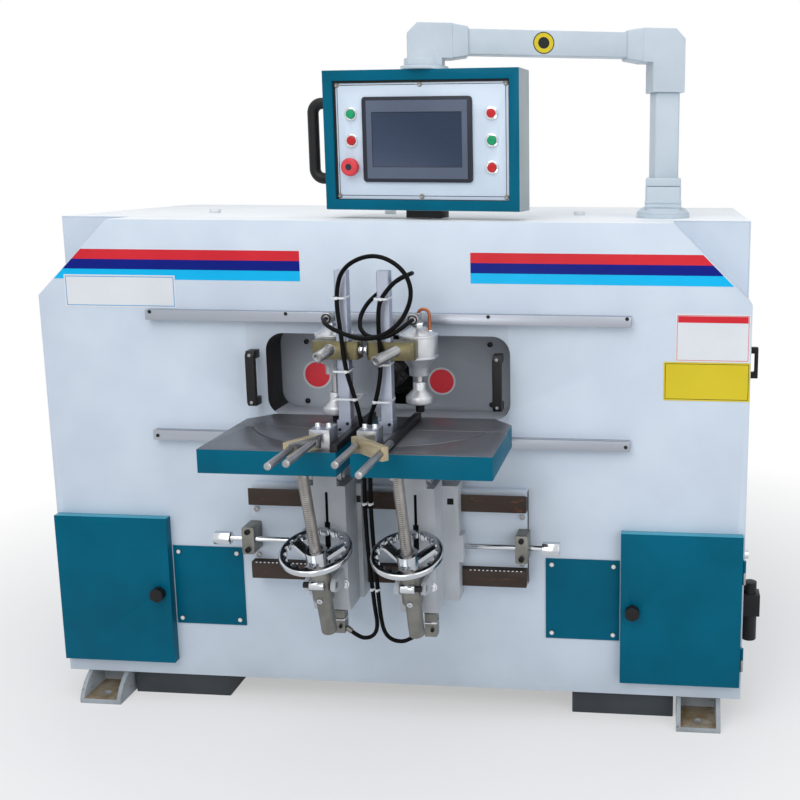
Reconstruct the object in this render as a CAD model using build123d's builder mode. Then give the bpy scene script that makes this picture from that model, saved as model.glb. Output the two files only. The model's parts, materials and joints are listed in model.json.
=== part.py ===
"""Twin-table numerically controlled tenoning machine, in millimetres.

+Z is up, the operator stands at -Y, and the origin lies on the floor at the
centre of the four anchor bolts.
"""
import os
from math import atan2, cos, degrees, hypot, pi, radians, sin, tan

from build123d import *

os.makedirs("parts", exist_ok=True)

# Cabinet
cabinet_width = 1600.0
cabinet_depth = 800.0
cabinet_height = 1080.0
foot_height = 62.0
sheet = 3.0
hood_depth = 118.0
corner_cut = 172.0
pan_thickness = 4.0

# Window and its sheet tunnel
window_width = 552.0
window_height = 189.0
window_centre_z = 797.5
window_radius = 40.0
tunnel_depth = 92.0

# Base beams and anchor feet
beam_width = 235.0
beam_edge = 152.0
beam_inset = 20.0
foot_edge = 95.0
foot_width = 100.0
foot_reach = 45.0
foot_run = 62.0
foot_wall = 10.0
foot_sole = 12.0
anchor_hole = 18.0
anchor_offset = 12.0

# Doors, hinges and latch knobs
door_edge = 5.0
door_width = 270.0
door_bottom_z = 101.0
door_height = 356.0
door_thickness = 22.0
door_gap = 0.5
door_wall = 2.5
door_lap = 16.0
hinge_radius = 4.0
hinge_pin_radius = 2.0
hinge_clear = 0.1
hinge_length = 28.0
hinge_end = 60.0
hinge_leaf = 3.0
knob_inset = 27.0
knob_z = 275.0
knob_radius = 16.0
knob_height = 18.0
knob_shaft_radius = 5.0
knob_clear = 0.1
cam_length = 42.0
cam_width = 12.0
cam_thickness = 5.0

# Cover plates
cover_gap = 3.0
cover_bed_gap = 38.0
cover_bottom_z = 194.0
cover_height = 192.0
cover_thickness = 3.0
cover_screw_inset = 14.0
screw_head_radius = 6.0
screw_head_height = 3.0

# Guard rails and sliding panes
rail_half = 542.0
rail_height = 23.0
rail_depth = 20.0
rail_upper_z = 920.0
rail_lower_z = 644.0
groove_width = 7.0
groove_depth = 14.0
groove_back = 8.0
pane_thickness = 5.0
pane_width = 285.0
pane_lift = 0.3
pane_bite = 10.0
pane_outer_x = {"left": 315.0, "right": 274.0}
handle_inset = 20.0
handle_width = 20.0
handle_length = 124.0
handle_reach = 36.0
handle_grip = 13.0
handle_foot = 18.0
handle_centre_z = 796.0

# Bed and dovetail ways for the table carriages
bed_half = 316.0
bed_thickness = 26.0
bed_bottom_z = 328.0
bed_height = 221.0
way_depth = 20.0
way_height = 40.0
way_undercut = 8.0
way_upper_z = 505.0
way_lower_z = 331.0
slide_clear = 0.3

# Feed screws
screw_z = 431.0
screw_y = -60.0
screw_radius = 6.0
screw_inner_x = 140.0
screw_hex = 27.0
screw_hex_inner_x = 354.0
screw_hex_length = 38.0
screw_bearing_clear = 0.05
screw_nut_clear = 0.3
bearing_inner_x = 295.0
bearing_width = 28.0
bearing_height = 63.0
bearing_depth = 50.0

# Table carriages
column_x = 96.0
column_width = 82.0
column_front_y = -160.0
column_back_y = -80.0
column_bottom_z = 308.0
column_top_z = 592.0
column_slot = 6.0
column_recess_z = 484.0
column_recess_height = 56.0
column_relief = 14.0
column_relief_height = 32.0
saddle_inner_x = 45.0
saddle_outer_x = 171.0
saddle_bottom_z = 322.0
saddle_top_z = 574.0
saddle_pocket = 14.0
nut_plate = 10.0
nut_plate_height = 62.0
pivot_y = -150.0
pivot_z = 617.0
knuckle_radius = 17.0
knuckle_half = 25.0
pivot_pin_radius = 8.0
pivot_clear = 0.05
port_x = {"left": 86.0, "right": 118.0}
port_size = 26.0
port_drop = 58.0
port_y = -126.0
nipple_radius = 6.0
nipple_length = 14.0
nipple_tilt = {"left": 38.0, "right": 30.0}

# Tables
table_inner_x = 14.0
table_outer_x = 292.0
table_front_y = -338.0
table_back_y = -36.0
table_top_z = 716.0
table_plate = 18.0
table_apron = 48.0
table_wall = 12.0
table_cut_x = 46.0
table_cut_y = 52.0
groove_line_y = -150.0
groove_line = 2.0
arc_centre_x = 50.0
arc_centre_y = -62.0
arc_radius = 222.0
arc_width = 5.0
arc_depth = 4.0
bracket_wall = 10.0
bracket_gap = 1.0
lug_thickness = 10.0
lug_radius = 14.0
lug_hole_radius = 9.0

# Tilt strut, its trunnion and handwheel
trunnion_y = -212.0
trunnion_z = 393.0
strut_top_y = -306.2
strut_top_z = 682.0
strut_radius = 11.5
strut_shoulder = 64.0
strut_screw_radius = 10.0
strut_screw_end = -60.0
strut_clear = 0.5
fork_depth = 19.0
fork_wall = 6.0
fork_side_gap = 1.0
fork_eye_radius = 12.0
fork_pin_radius = 5.0
trunnion_radius = 22.0
trunnion_top = 58.0
trunnion_bottom = -34.0
trunnion_counterbore_end = 14.0
tube_radius = 17.0
tube_end = -126.0
trunnion_pin_radius = 7.0
trunnion_pin_clear = 0.05
trunnion_lug_wall = 10.0
trunnion_lug_gap = 1.0
trunnion_lug_radius = 15.0
lock_y = -23.0
lock_radius = 10.0
lock_half = 15.0
lock_z = 17.0
lock_knob_radius = 6.5
lock_knob_length = 14.0
wheel_radius = 75.0
wheel_rim_width = 16.0
wheel_rim_height = 14.0
wheel_rim_fillet = 4.5
wheel_scallops = 18
wheel_scallop_radius = 6.0
wheel_dish = 22.0
hub_radius = 22.0
hub_height = 34.0
hub_gap = 0.3
spoke_width = 20.0
spoke_thickness = 9.0

# Clamps
clamp_x = 44.0
clamp_y = -165.0
clamp_base_x = 30.0
clamp_base_y = 40.0
clamp_base_height = 26.0
clamp_column_size = 26.0
clamp_column_corner = 3.0
clamp_column_top_z = 1052.0
clamp_fit = 0.1
bracket_inner = 36.0
bracket_outer = 64.0
bracket_depth = 42.0
bracket_bottom_z = 870.0
bracket_height = 37.0
bracket_slit = 3.0
cylinder_y = -109.0
cylinder_reach = {"left": 38.0, "right": 55.0}
cylinder_radius = 40.0
cylinder_bottom_z = 866.0
cylinder_height = 48.0
cylinder_bevel = 3.0
cylinder_cap_radius = 15.0
cylinder_cap_height = 14.0
cylinder_neck_radius = 21.0
cylinder_neck_length = 40.0
cylinder_neck_taper = 24.0
lock_bar_x = {"left": 26.0, "right": 22.0}
lock_bar_radius = 11.5
lock_bar_root = 12.0
lock_bar_run = {"left": (-14.0, -30.0, -10.0), "right": (-26.0, -42.0, -13.0)}
elbow_radius = 8.0
elbow_z = 950.0
elbow_reach = 50.0
piston_radius = 8.0
piston_clear = 0.1
piston_engaged = 44.0
foot_neck_radius = 14.0
foot_neck_top_z = 812.0
foot_cone_height = 16.0
foot_disc_radius = 29.0
foot_disc_z = 765.0
foot_disc_height = 15.0
foot_pad_radius = 9.5
foot_pad_z = 746.0
foot_drop = {"left": 26.0, "right": 0.0}

# Fences and length stops
fence_x = {"left": 19.0, "right": 81.0}
fence_size = 15.0
fence_front_y = -335.0
fence_back_y = -56.0
stop_block_x = {"left": (28.0, 68.0), "right": (26.0, 64.0)}
stop_block_y = (-328.0, -276.0)
stop_block_height = 42.0
rod_radius = 7.0
rod_z = 740.0
guide_rod_x = {"left": 52.0, "right": 37.0}
guide_rod_end_y = -500.0
stop_rod_x = {"left": 78.0, "right": 97.0}
stop_rod_y = {"left": (-520.0, -350.0), "right": (-557.0, -345.0)}
link_inner_y = {"left": -352.0, "right": -356.0}
link_outer_y = {"left": -400.0, "right": -412.0}
link_width = 15.0
link_height = 27.0
link_end = 13.0
rod_clear = 0.15

# Film of paint or sealant between pieces that are screwed together
seat_gap = 0.1

# Air hoses
hose_radius = 4.5
hose_lead = 22.0

# Spindle unit behind the window
spindle_rail = 20.0
spindle_rail_half = 470.0
spindle_rail_dz = 165.0
spindle_opening_x = 335.0
spindle_opening_z = 125.0
shield_half = 490.0
shield_height = 226.0
shield_gap = 5.0
shield_thickness = 2.0
slot_half = 34.0
slot_half_z = 84.0
cross_plate_half = 130.0
cross_plate = 20.0
runner_height = 44.0
runner_length = 60.0
runner_clear = 0.3
spacer_radius = 10.0
lift_plate_half_x = 80.0
lift_plate_half_z = 75.0
lift_plate = 16.0
gib_width = 16.0
motor_radius = 62.0
motor_length = 230.0
nose_radius = 28.0
arbor_radius = 14.0
arbor_clear = 0.1
cutter_radius = 32.0
cutter_length = 54.0
cutter_tip_y = 26.0
cutter_flutes = 4

# Control boom
post_edge = 196.0
post_y = 244.0
post_size = 58.0
boom_base_radius = 62.0
boom_base_height = 10.0
collar_size = 82.0
collar_height = 62.0
swivel_radius = 22.0
swivel_depth = 50.0
swivel_clear = 0.1
swivel_gap = 0.4
arm_rise = 387.0
arm_height = 54.0
arm_depth = 54.0
head_x = 75.0
head_y = 106.0
elbow_size = 74.0
elbow_drop = 66.0
elbow_chamfer = 22.0
elbow_socket = 24.0
neck_radius = 16.0
neck_gap = 0.4
head_ring_radius = 45.0
head_drop = 52.6
tube_wall = 4.0

# Control panel, in its own frame: x to the right, y up, z towards the operator
panel_yaw = 8.0
panel_width = 456.0
panel_height = 306.0
panel_depth = 80.0
panel_wall = 23.0
panel_recess = 8.0
panel_flange_radius = 53.0
panel_flange_height = 8.0
entry_width = 84.0
entry_depth = 50.0
entry_drop = 17.0
face_thickness = 3.0
face_gap = 1.0
screen_x = -8.0
screen_y = 2.0
screen_width = 256.0
screen_height = 186.0
screen_proud = 6.0
screen_glass_width = 208.0
screen_glass_height = 118.0
button_column = 164.0
button_rows = (58.0, 0.0, -58.0)
bezel_radius = 14.5
bezel_height = 4.0
bezel_bore_radius = 10.4
button_radius = 10.0
button_proud = 7.0
button_travel = 4.0
button_tail = 12.0
stop_head_radius = 20.0
stop_head_height = 14.0
stop_stem_radius = 10.1
grip_offset = 44.0
grip_length = 168.0
grip_radius = 10.0

# Services on the side and the back
air_unit_y = 92.0
air_unit_z = 232.0
air_unit_width = 44.0
air_unit_depth = 40.0
air_unit_height = 52.0
air_bowl_radius = 17.0
air_bowl_height = 62.0
air_knob_radius = 15.0
air_knob_height = 26.0
air_port_radius = 6.6
air_port_depth = 14.0
spigot_x = 300.0
spigot_z = 640.0
spigot_radius = 62.5
spigot_wall = 2.0
spigot_length = 70.0
spigot_flange = 22.0
gland_x = -520.0
gland_z = 240.0
gland_radius = 16.0
gland_length = 28.0
plug_radius = 14.0
plug_height = 9.0
plug_x = (-520.0, -70.0, 400.0)
plug_y = 330.0

# Values worked out from the sizes above
half_width = cabinet_width / 2
beam_inner_x = half_width - beam_edge - beam_width
foot_x = half_width - foot_edge
door_outer_x = half_width - door_edge
door_inner_x = door_outer_x - door_width
knob_x = door_inner_x + knob_inset
cover_inner_x = bed_half + cover_bed_gap
cover_width = door_inner_x - cover_gap - cover_inner_x
post_x = half_width - post_edge
cabinet_top = foot_height + cabinet_height
arm_z = cabinet_top + arm_rise
head_bottom = arm_z - head_drop
panel_centre_z = head_bottom - neck_gap - panel_flange_height - panel_height / 2
front = -cabinet_depth / 2
back = cabinet_depth / 2
bulkhead_y = front + hood_depth
inside_half = half_width - sheet
front_plane = Plane.XZ.offset(-front)
sides = {"left": -1, "right": 1}
strut_lean = atan2(trunnion_y - strut_top_y, strut_top_z - trunnion_z)
strut_reach = hypot(trunnion_y - strut_top_y, strut_top_z - trunnion_z)
fork_start = strut_reach - fork_depth
pane_bottom = rail_lower_z + rail_height - groove_depth + pane_lift
pane_top = rail_upper_z + pane_bite
pane_front_y = -(groove_back + (groove_width + pane_thickness) / 2)
hinge_x = door_outer_x + hinge_radius + door_gap
nipple_z = column_bottom_z - port_drop + nipple_radius + 2
hinge_y = -(hinge_radius + door_gap)


def block(x, y, z, mode=Mode.ADD):
    """Block between two limits on each axis, in the part being built."""
    centre = tuple((low + high) / 2 for low, high in (x, y, z))
    size = (abs(high - low) for low, high in (x, y, z))
    with Locations(centre):
        Box(*size, mode=mode)


def rod(start, end, radius, mode=Mode.ADD):
    """Round bar from one point to another, in the part being built."""
    start, end = Vector(start), Vector(end)
    with Locations(Plane(origin=start, z_dir=end - start)):
        Cylinder(radius, (end - start).length, align=(Align.CENTER, Align.CENTER, Align.MIN), mode=mode)


def placed(base, local):
    """Plane given in the frame of a base plane."""
    return Plane(base.location * local.location)


def at(s, x, y, z):
    """Point on one side of the machine, with y measured from the front plate."""
    return (s * x, front + y, z)


def lathe(s, x, profile):
    """Turned body round a clamp cylinder's upright axis, from radii and heights, in the part being built."""
    axis = Vector(at(s, x, cylinder_y, 0))
    with BuildSketch(Plane(origin=axis, x_dir=(1, 0, 0), z_dir=(0, -1, 0))) as half:
        Polygon(*profile, align=None)
    revolve(half.sketch, axis=Axis(axis, (0, 0, 1)))


def nipple_end(name, lead):
    """Point in front of the hose nipple under a carriage, a given lead away from its end."""
    run = nipple_length + lead
    inward = cos(radians(nipple_tilt[name])) * run
    drop = sin(radians(nipple_tilt[name])) * run
    return at(sides[name], port_x[name] - port_size / 2 - inward, port_y, nipple_z - drop)


def elbow_end(name, lead):
    """Point in front of the hose elbow on a clamp cylinder, a given lead away from its end."""
    return at(sides[name], clamp_x + cylinder_reach[name], cylinder_y - elbow_reach - lead, elbow_z)


def write(builder, name):
    """Label a finished sub-part and write it to its own file."""
    builder.part.label = name
    export_step(builder.part, f"parts/{name}.step")


def hood_outline(inset):
    """Corners of the hood's front view, moved inwards by the inset."""
    slope = inset * tan(radians(22.5))
    side = half_width - inset
    corner = half_width - corner_cut - slope
    shoulder = cabinet_top - corner_cut - slope
    top = cabinet_top - inset
    half = [(side, foot_height), (side, shoulder), (corner, top)]
    return half + [(-x, z) for x, z in reversed(half)]


# Base frame: floor pan welded on two box beams
with BuildPart() as base_frame:
    block((-inside_half, inside_half), (front + sheet, back - sheet),
          (foot_height, foot_height + pan_thickness))
    for s in sides.values():
        block((s * beam_inner_x, s * (beam_inner_x + beam_width)), (front + beam_inset, back - beam_inset),
              (0, foot_height))
write(base_frame, "base_frame")

# Anchor feet: soles with two curved cheeks, open at the outer end
with BuildPart() as anchor_foot:
    with BuildSketch(Plane.YZ):
        with BuildLine():
            toe = (front - foot_reach, 0)
            heel = (front + foot_run, 0)
            Polyline((toe[0], foot_sole), toe, heel, (heel[0], foot_height), (front + 4, foot_height))
            RadiusArc((front + 4, foot_height), (toe[0], foot_sole), -1.6 * foot_height)
        make_face()
    extrude(amount=foot_width / 2, both=True)
    block((-foot_width / 2 + foot_wall, foot_width / 2 - foot_wall),
          (front - foot_reach - 1, front + foot_run - foot_wall), (foot_sole, foot_height + 1),
          mode=Mode.SUBTRACT)
    with Locations((0, front - anchor_offset, foot_sole)):
        Hole(anchor_hole / 2, depth=foot_sole)
with BuildPart() as anchor_feet:
    for s in sides.values():
        for turn in (0, 180):
            with Locations(Location((s * foot_x, 0, 0), (0, 0, turn))):
                add(anchor_foot.part)
write(anchor_feet, "anchor_feet")

# Rear cabinet: folded sides, roof and back, open below and in front
with BuildPart() as rear_cabinet:
    block((-half_width, half_width), (bulkhead_y, back), (foot_height, cabinet_top))
    block((-inside_half, inside_half), (bulkhead_y - 1, back - sheet), (foot_height - 1, cabinet_top - sheet),
          mode=Mode.SUBTRACT)
    rod((spigot_x, back - 2 * sheet, spigot_z), (spigot_x, back + 1, spigot_z), spigot_radius,
        mode=Mode.SUBTRACT)
write(rear_cabinet, "rear_cabinet")

# Front housing: folded hood with cut top corners, window tunnel and two door openings
with BuildPart() as front_housing:
    with BuildSketch(front_plane):
        Polygon(*hood_outline(0), align=None)
    extrude(amount=-hood_depth)
    with BuildSketch(front_plane.offset(-sheet)):
        Polygon(*hood_outline(sheet), align=None)
    extrude(amount=-hood_depth, mode=Mode.SUBTRACT)
    with BuildSketch(front_plane.offset(-sheet / 2)):
        with Locations((0, window_centre_z)):
            RectangleRounded(window_width + 2 * sheet, window_height + 2 * sheet, window_radius + sheet)
    extrude(amount=-tunnel_depth + sheet / 2)
    with BuildSketch(front_plane):
        with Locations((0, window_centre_z)):
            RectangleRounded(window_width, window_height, window_radius)
        for s in sides.values():
            with Locations((s * (door_inner_x + door_outer_x) / 2, door_bottom_z + door_height / 2)):
                Rectangle(door_outer_x - door_inner_x - 2 * door_lap, door_height - 2 * door_lap)
    extrude(amount=-tunnel_depth - 1, mode=Mode.SUBTRACT)
write(front_housing, "front_housing")

# Bulkhead between hood and cabinet, with the rails of the spindle's cross slide
with BuildPart() as bulkhead:
    block((-inside_half, inside_half), (bulkhead_y, bulkhead_y + sheet),
          (foot_height + pan_thickness, cabinet_top - sheet))
    block((-spindle_opening_x, spindle_opening_x), (bulkhead_y - 1, bulkhead_y + sheet + 1),
          (window_centre_z - spindle_opening_z, window_centre_z + spindle_opening_z), mode=Mode.SUBTRACT)
    for dz in (-spindle_rail_dz, spindle_rail_dz):
        z = window_centre_z + dz
        block((-spindle_rail_half, spindle_rail_half),
              (bulkhead_y + sheet, bulkhead_y + sheet + spindle_rail),
              (z - spindle_rail / 2, z + spindle_rail / 2))
write(bulkhead, "bulkhead")

# Slide bed and its two dovetail ways
with BuildPart() as slide_ways:
    block((-bed_half, bed_half), (front - bed_thickness, front), (bed_bottom_z, bed_bottom_z + bed_height))
    root = front - bed_thickness
    face = root - way_depth
    for low, high, low_cut, high_cut in (
        (way_upper_z, way_upper_z + way_height, 0, way_undercut),
        (way_lower_z, way_lower_z + way_height, way_undercut, 0),
    ):
        with BuildSketch(Plane.YZ):
            Polygon((face, low), (face, high), (root, high - high_cut), (root, low + low_cut), align=None)
        extrude(amount=bed_half, both=True)
write(slide_ways, "slide_ways")

# Bearing blocks of the feed screws
with BuildPart() as bearing_blocks:
    for s in sides.values():
        with BuildSketch(Plane.XZ.offset(-front + bed_thickness)):
            with Locations((s * (bearing_inner_x + bearing_width / 2), screw_z)):
                RectangleRounded(bearing_width, bearing_height, 4)
        extrude(amount=bearing_depth)
    rod((-half_width, front + screw_y, screw_z), (half_width, front + screw_y, screw_z),
        screw_radius + screw_bearing_clear, mode=Mode.SUBTRACT)
write(bearing_blocks, "bearing_blocks")

# Guard rails: grooved strips above and below the window
with BuildPart() as guard_rails:
    lower_groove_z = rail_lower_z + rail_height - groove_depth
    for low, groove_low in ((rail_upper_z, rail_upper_z), (rail_lower_z, lower_groove_z)):
        block((-rail_half, rail_half), (front - rail_depth, front), (low, low + rail_height))
        block((-rail_half - 1, rail_half + 1), (front - groove_back - groove_width, front - groove_back),
              (groove_low, groove_low + groove_depth), mode=Mode.SUBTRACT)
write(guard_rails, "guard_rails")

# Cover plates and their pan-head screws, with the plugs of the lifting holes
with BuildPart() as cover_plates:
    for s in sides.values():
        block((s * cover_inner_x, s * (cover_inner_x + cover_width)), (front - cover_thickness, front),
              (cover_bottom_z, cover_bottom_z + cover_height))
write(cover_plates, "cover_plates")

with BuildPart() as fasteners:
    for s in sides.values():
        centre = (s * (cover_inner_x + cover_width / 2), cover_bottom_z + cover_height / 2)
        with BuildSketch(Plane.XZ.offset(-front + cover_thickness)):
            with Locations(centre):
                with GridLocations(cover_width - 2 * cover_screw_inset,
                                   cover_height - 2 * cover_screw_inset, 2, 2):
                    Circle(screw_head_radius)
        extrude(amount=screw_head_height)
    for x in plug_x:
        rod((x, front + plug_y, cabinet_top), (x, front + plug_y, cabinet_top + plug_height), plug_radius)
write(fasteners, "fasteners")

# Sliding panes with their bridge handles
for name, s in sides.items():
    outer = s * pane_outer_x[name]
    inner = outer - s * pane_width
    pane_face = front + pane_front_y
    with BuildPart() as guard_pane:
        block((inner, outer), (pane_face, pane_face + pane_thickness), (pane_bottom, pane_top))
        with BuildSketch(Plane.YZ.offset(outer - s * handle_inset)):
            low = handle_centre_z - handle_length / 2
            high = handle_centre_z + handle_length / 2
            seat = pane_face - seat_gap
            tip = pane_face - handle_reach
            Polygon((seat, low), (seat, low + handle_foot), (tip + handle_grip, low + handle_foot),
                    (tip + handle_grip, high - handle_foot), (seat, high - handle_foot), (seat, high),
                    (tip + handle_grip / 2, high), (tip, high - handle_foot / 2),
                    (tip, low + handle_foot / 2),
                    (tip + handle_grip / 2, low), align=None)
        extrude(amount=handle_width / 2, both=True)
    write(guard_pane, f"guard_pane_{name}")

# Doors: folded pans with hinge barrels, the hinges' fixed halves, and the latch knobs
hinge_spots = (door_bottom_z + hinge_end, door_bottom_z + door_height - hinge_end - hinge_length)
with BuildPart() as door_hinges:
    for s in sides.values():
        for z in hinge_spots:
            knuckle = (s * hinge_x, front + hinge_y)
            rod((*knuckle, z - hinge_length - hinge_clear), (*knuckle, z - hinge_clear), hinge_radius)
            rod((*knuckle, z - hinge_clear), (*knuckle, z + hinge_length), hinge_pin_radius)
            block((s * half_width, s * (half_width + hinge_leaf)),
                  (front + hinge_y, front + 6 * hinge_radius),
                  (z - hinge_length - hinge_clear, z - hinge_clear))
write(door_hinges, "door_hinges")

for name, s in sides.items():
    with BuildPart() as door:
        block((s * door_inner_x, s * door_outer_x), (front - door_gap - door_thickness, front - door_gap),
              (door_bottom_z, door_bottom_z + door_height))
        block((s * (door_inner_x + door_wall), s * (door_outer_x - door_wall)),
              (front - door_gap - door_thickness + door_wall, front),
              (door_bottom_z + door_wall, door_bottom_z + door_height - door_wall), mode=Mode.SUBTRACT)
        for z in hinge_spots:
            knuckle = (s * hinge_x, front + hinge_y)
            rod((*knuckle, z), (*knuckle, z + hinge_length), hinge_radius)
            block((s * (door_outer_x - door_wall), s * hinge_x),
                  (knuckle[1] - 0.8 * hinge_radius, knuckle[1]),
                  (z, z + hinge_length))
            rod((*knuckle, z - 1), (*knuckle, z + hinge_length + 1), hinge_pin_radius + hinge_clear,
                mode=Mode.SUBTRACT)
        rod((s * knob_x, front - 2 * door_thickness, knob_z), (s * knob_x, front, knob_z),
            knob_shaft_radius + knob_clear, mode=Mode.SUBTRACT)
    write(door, f"door_{name}")

    with BuildPart() as door_knob:
        seat = front - door_gap - door_thickness - hinge_clear
        with BuildSketch(Plane.XZ.offset(-seat)):
            with Locations((s * knob_x, knob_z)):
                Circle(knob_radius)
                with PolarLocations(knob_radius + 4, 6):
                    Circle(knob_radius / 3, mode=Mode.SUBTRACT)
        extrude(amount=knob_height)
        cam_y = front + sheet + 1
        rod((s * knob_x, seat, knob_z), (s * knob_x, cam_y + cam_thickness, knob_z), knob_shaft_radius)
        block((s * knob_x - cam_width / 2, s * knob_x + cam_width / 2), (cam_y, cam_y + cam_thickness),
              (knob_z - cam_length, knob_z + cam_width / 2))
    write(door_knob, f"door_knob_{name}")

# Spindle unit: cross slide with its shield, lift slide with the motor, cutter on its arbor
cross_back = bulkhead_y + sheet + spindle_rail
shield_y = front + tunnel_depth + shield_gap
with BuildPart() as cross_slide:
    plate_front = cross_back + 6
    block((-cross_plate_half, cross_plate_half), (plate_front, plate_front + cross_plate),
          (window_centre_z - spindle_rail_dz - runner_height / 2,
           window_centre_z + spindle_rail_dz + runner_height / 2))
    block((-slot_half - nose_radius, slot_half + nose_radius),
          (plate_front - 1, plate_front + cross_plate + 1),
          (window_centre_z - slot_half_z - nose_radius, window_centre_z + slot_half_z + nose_radius),
          mode=Mode.SUBTRACT)
    for dz in (-spindle_rail_dz, spindle_rail_dz):
        for x in (-cross_plate_half, cross_plate_half - runner_length):
            z = window_centre_z + dz
            block((x, x + runner_length), (bulkhead_y + sheet + 4, plate_front),
                  (z - runner_height / 2, z + runner_height / 2))
            half_rail = spindle_rail / 2 + runner_clear
            block((x - 1, x + runner_length + 1), (bulkhead_y, cross_back + runner_clear),
                  (z - half_rail, z + half_rail), mode=Mode.SUBTRACT)
    for x in (-cross_plate_half + spacer_radius, cross_plate_half - spacer_radius):
        for dz in (-spindle_opening_z + 2 * spacer_radius, spindle_opening_z - 2 * spacer_radius):
            rod((x, shield_y + shield_thickness, window_centre_z + dz),
                (x, plate_front, window_centre_z + dz),
                spacer_radius)
    for x in (-lift_plate_half_x - gib_width - slide_clear, lift_plate_half_x + slide_clear):
        block((x, x + gib_width), (plate_front + cross_plate, plate_front + cross_plate + lift_plate),
              (window_centre_z - slot_half_z - lift_plate_half_z,
               window_centre_z + slot_half_z + lift_plate_half_z))
    block((-shield_half, shield_half), (shield_y, shield_y + shield_thickness),
          (window_centre_z - shield_height / 2, window_centre_z + shield_height / 2))
    with BuildSketch(Plane.XZ.offset(-shield_y)):
        with Locations((0, window_centre_z)):
            RectangleRounded(2 * slot_half, 2 * slot_half_z, slot_half / 2)
    extrude(amount=-2 * shield_thickness, mode=Mode.SUBTRACT)
write(cross_slide, "cross_slide")

nose_y = shield_y + 4 * shield_thickness
with BuildPart() as spindle_head:
    seat = plate_front + cross_plate + slide_clear
    block((-lift_plate_half_x, lift_plate_half_x), (seat, seat + lift_plate),
          (window_centre_z - lift_plate_half_z, window_centre_z + lift_plate_half_z))
    rod((0, nose_y, window_centre_z), (0, seat, window_centre_z), nose_radius)
    rod((0, seat + lift_plate, window_centre_z), (0, seat + lift_plate + motor_length, window_centre_z),
        motor_radius)
    rod((0, nose_y - 1, window_centre_z), (0, seat + lift_plate + motor_length / 2, window_centre_z),
        arbor_radius + arbor_clear, mode=Mode.SUBTRACT)
write(spindle_head, "spindle_head")

with BuildPart() as cutter:
    tip = front + cutter_tip_y
    rod((0, tip + 8, window_centre_z), (0, seat + lift_plate + motor_length / 3, window_centre_z),
        arbor_radius)
    with BuildSketch(Plane.XZ.offset(-tip)):
        with Locations((0, window_centre_z)):
            Circle(cutter_radius)
            with PolarLocations(cutter_radius + 4, cutter_flutes):
                Circle(cutter_radius / 2.4, mode=Mode.SUBTRACT)
    extrude(amount=-cutter_length)
    rod((0, tip - 8, window_centre_z), (0, tip, window_centre_z), arbor_radius)
write(cutter, "cutter")

# Boom: base on the roof, swivelling post, elbow, arm and head
post_centre = (post_x, front + post_y)
socket_top = cabinet_top + boom_base_height + collar_height
with BuildPart() as boom_base:
    rod((*post_centre, cabinet_top), (*post_centre, cabinet_top + boom_base_height), boom_base_radius)
    with BuildSketch(Plane.XY.offset(cabinet_top + boom_base_height)):
        with Locations(post_centre):
            RectangleRounded(collar_size, collar_size, 8)
    extrude(amount=collar_height)
    rod((*post_centre, socket_top - swivel_depth), (*post_centre, socket_top + 1),
        swivel_radius + swivel_clear,
        mode=Mode.SUBTRACT)
write(boom_base, "boom_base")

boom_yaw = degrees(atan2(post_y - head_y, post_x - head_x))
arm_run = hypot(post_x - head_x, post_y - head_y)
elbow_bottom = arm_z - elbow_drop - elbow_size / 2
boom_plane = Plane(origin=(*post_centre, 0), x_dir=(-cos(radians(boom_yaw)), -sin(radians(boom_yaw)), 0),
                   z_dir=(0, 0, 1))
half_elbow = elbow_size / 2
elbow_top = arm_z + half_elbow
with BuildPart(boom_plane) as boom_tubes:
    with BuildSketch(boom_plane.offset(socket_top + swivel_gap)):
        RectangleRounded(post_size, post_size, 6)
    extrude(amount=elbow_bottom - socket_top - swivel_gap)
    rod((0, 0, socket_top - swivel_depth + swivel_gap), (0, 0, socket_top + swivel_gap), swivel_radius)
    block((half_elbow, arm_run - half_elbow), (-arm_depth / 2, arm_depth / 2),
          (arm_z - arm_height / 2, arm_z + arm_height / 2))
write(boom_tubes, "boom_tubes")

with BuildPart(boom_plane) as boom_castings:
    with BuildSketch(placed(boom_plane, Plane.XZ)):
        Polygon((-half_elbow, elbow_bottom), (-half_elbow, elbow_top - elbow_chamfer),
                (-half_elbow + elbow_chamfer, elbow_top), (half_elbow + elbow_socket, elbow_top),
                (half_elbow + elbow_socket, elbow_top - elbow_size), (half_elbow, elbow_top - elbow_size),
                (half_elbow, elbow_bottom), align=None)
        Polygon((arm_run - half_elbow - elbow_socket, elbow_top),
                (arm_run + half_elbow - elbow_chamfer, elbow_top),
                (arm_run + half_elbow, elbow_top - elbow_chamfer), (arm_run + half_elbow, head_bottom),
                (arm_run - half_elbow, head_bottom), (arm_run - half_elbow, elbow_top - elbow_size),
                (arm_run - half_elbow - elbow_socket, elbow_top - elbow_size), align=None)
    extrude(amount=half_elbow, both=True)
    rod((arm_run, 0, head_bottom), (arm_run, 0, elbow_top - elbow_size), head_ring_radius)
    block((half_elbow, arm_run - half_elbow), (-arm_depth / 2, arm_depth / 2),
          (arm_z - arm_height / 2, arm_z + arm_height / 2), mode=Mode.SUBTRACT)
    rod((arm_run, 0, head_bottom - 1), (arm_run, 0, arm_z), neck_radius + swivel_clear, mode=Mode.SUBTRACT)
write(boom_castings, "boom_castings")

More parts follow.
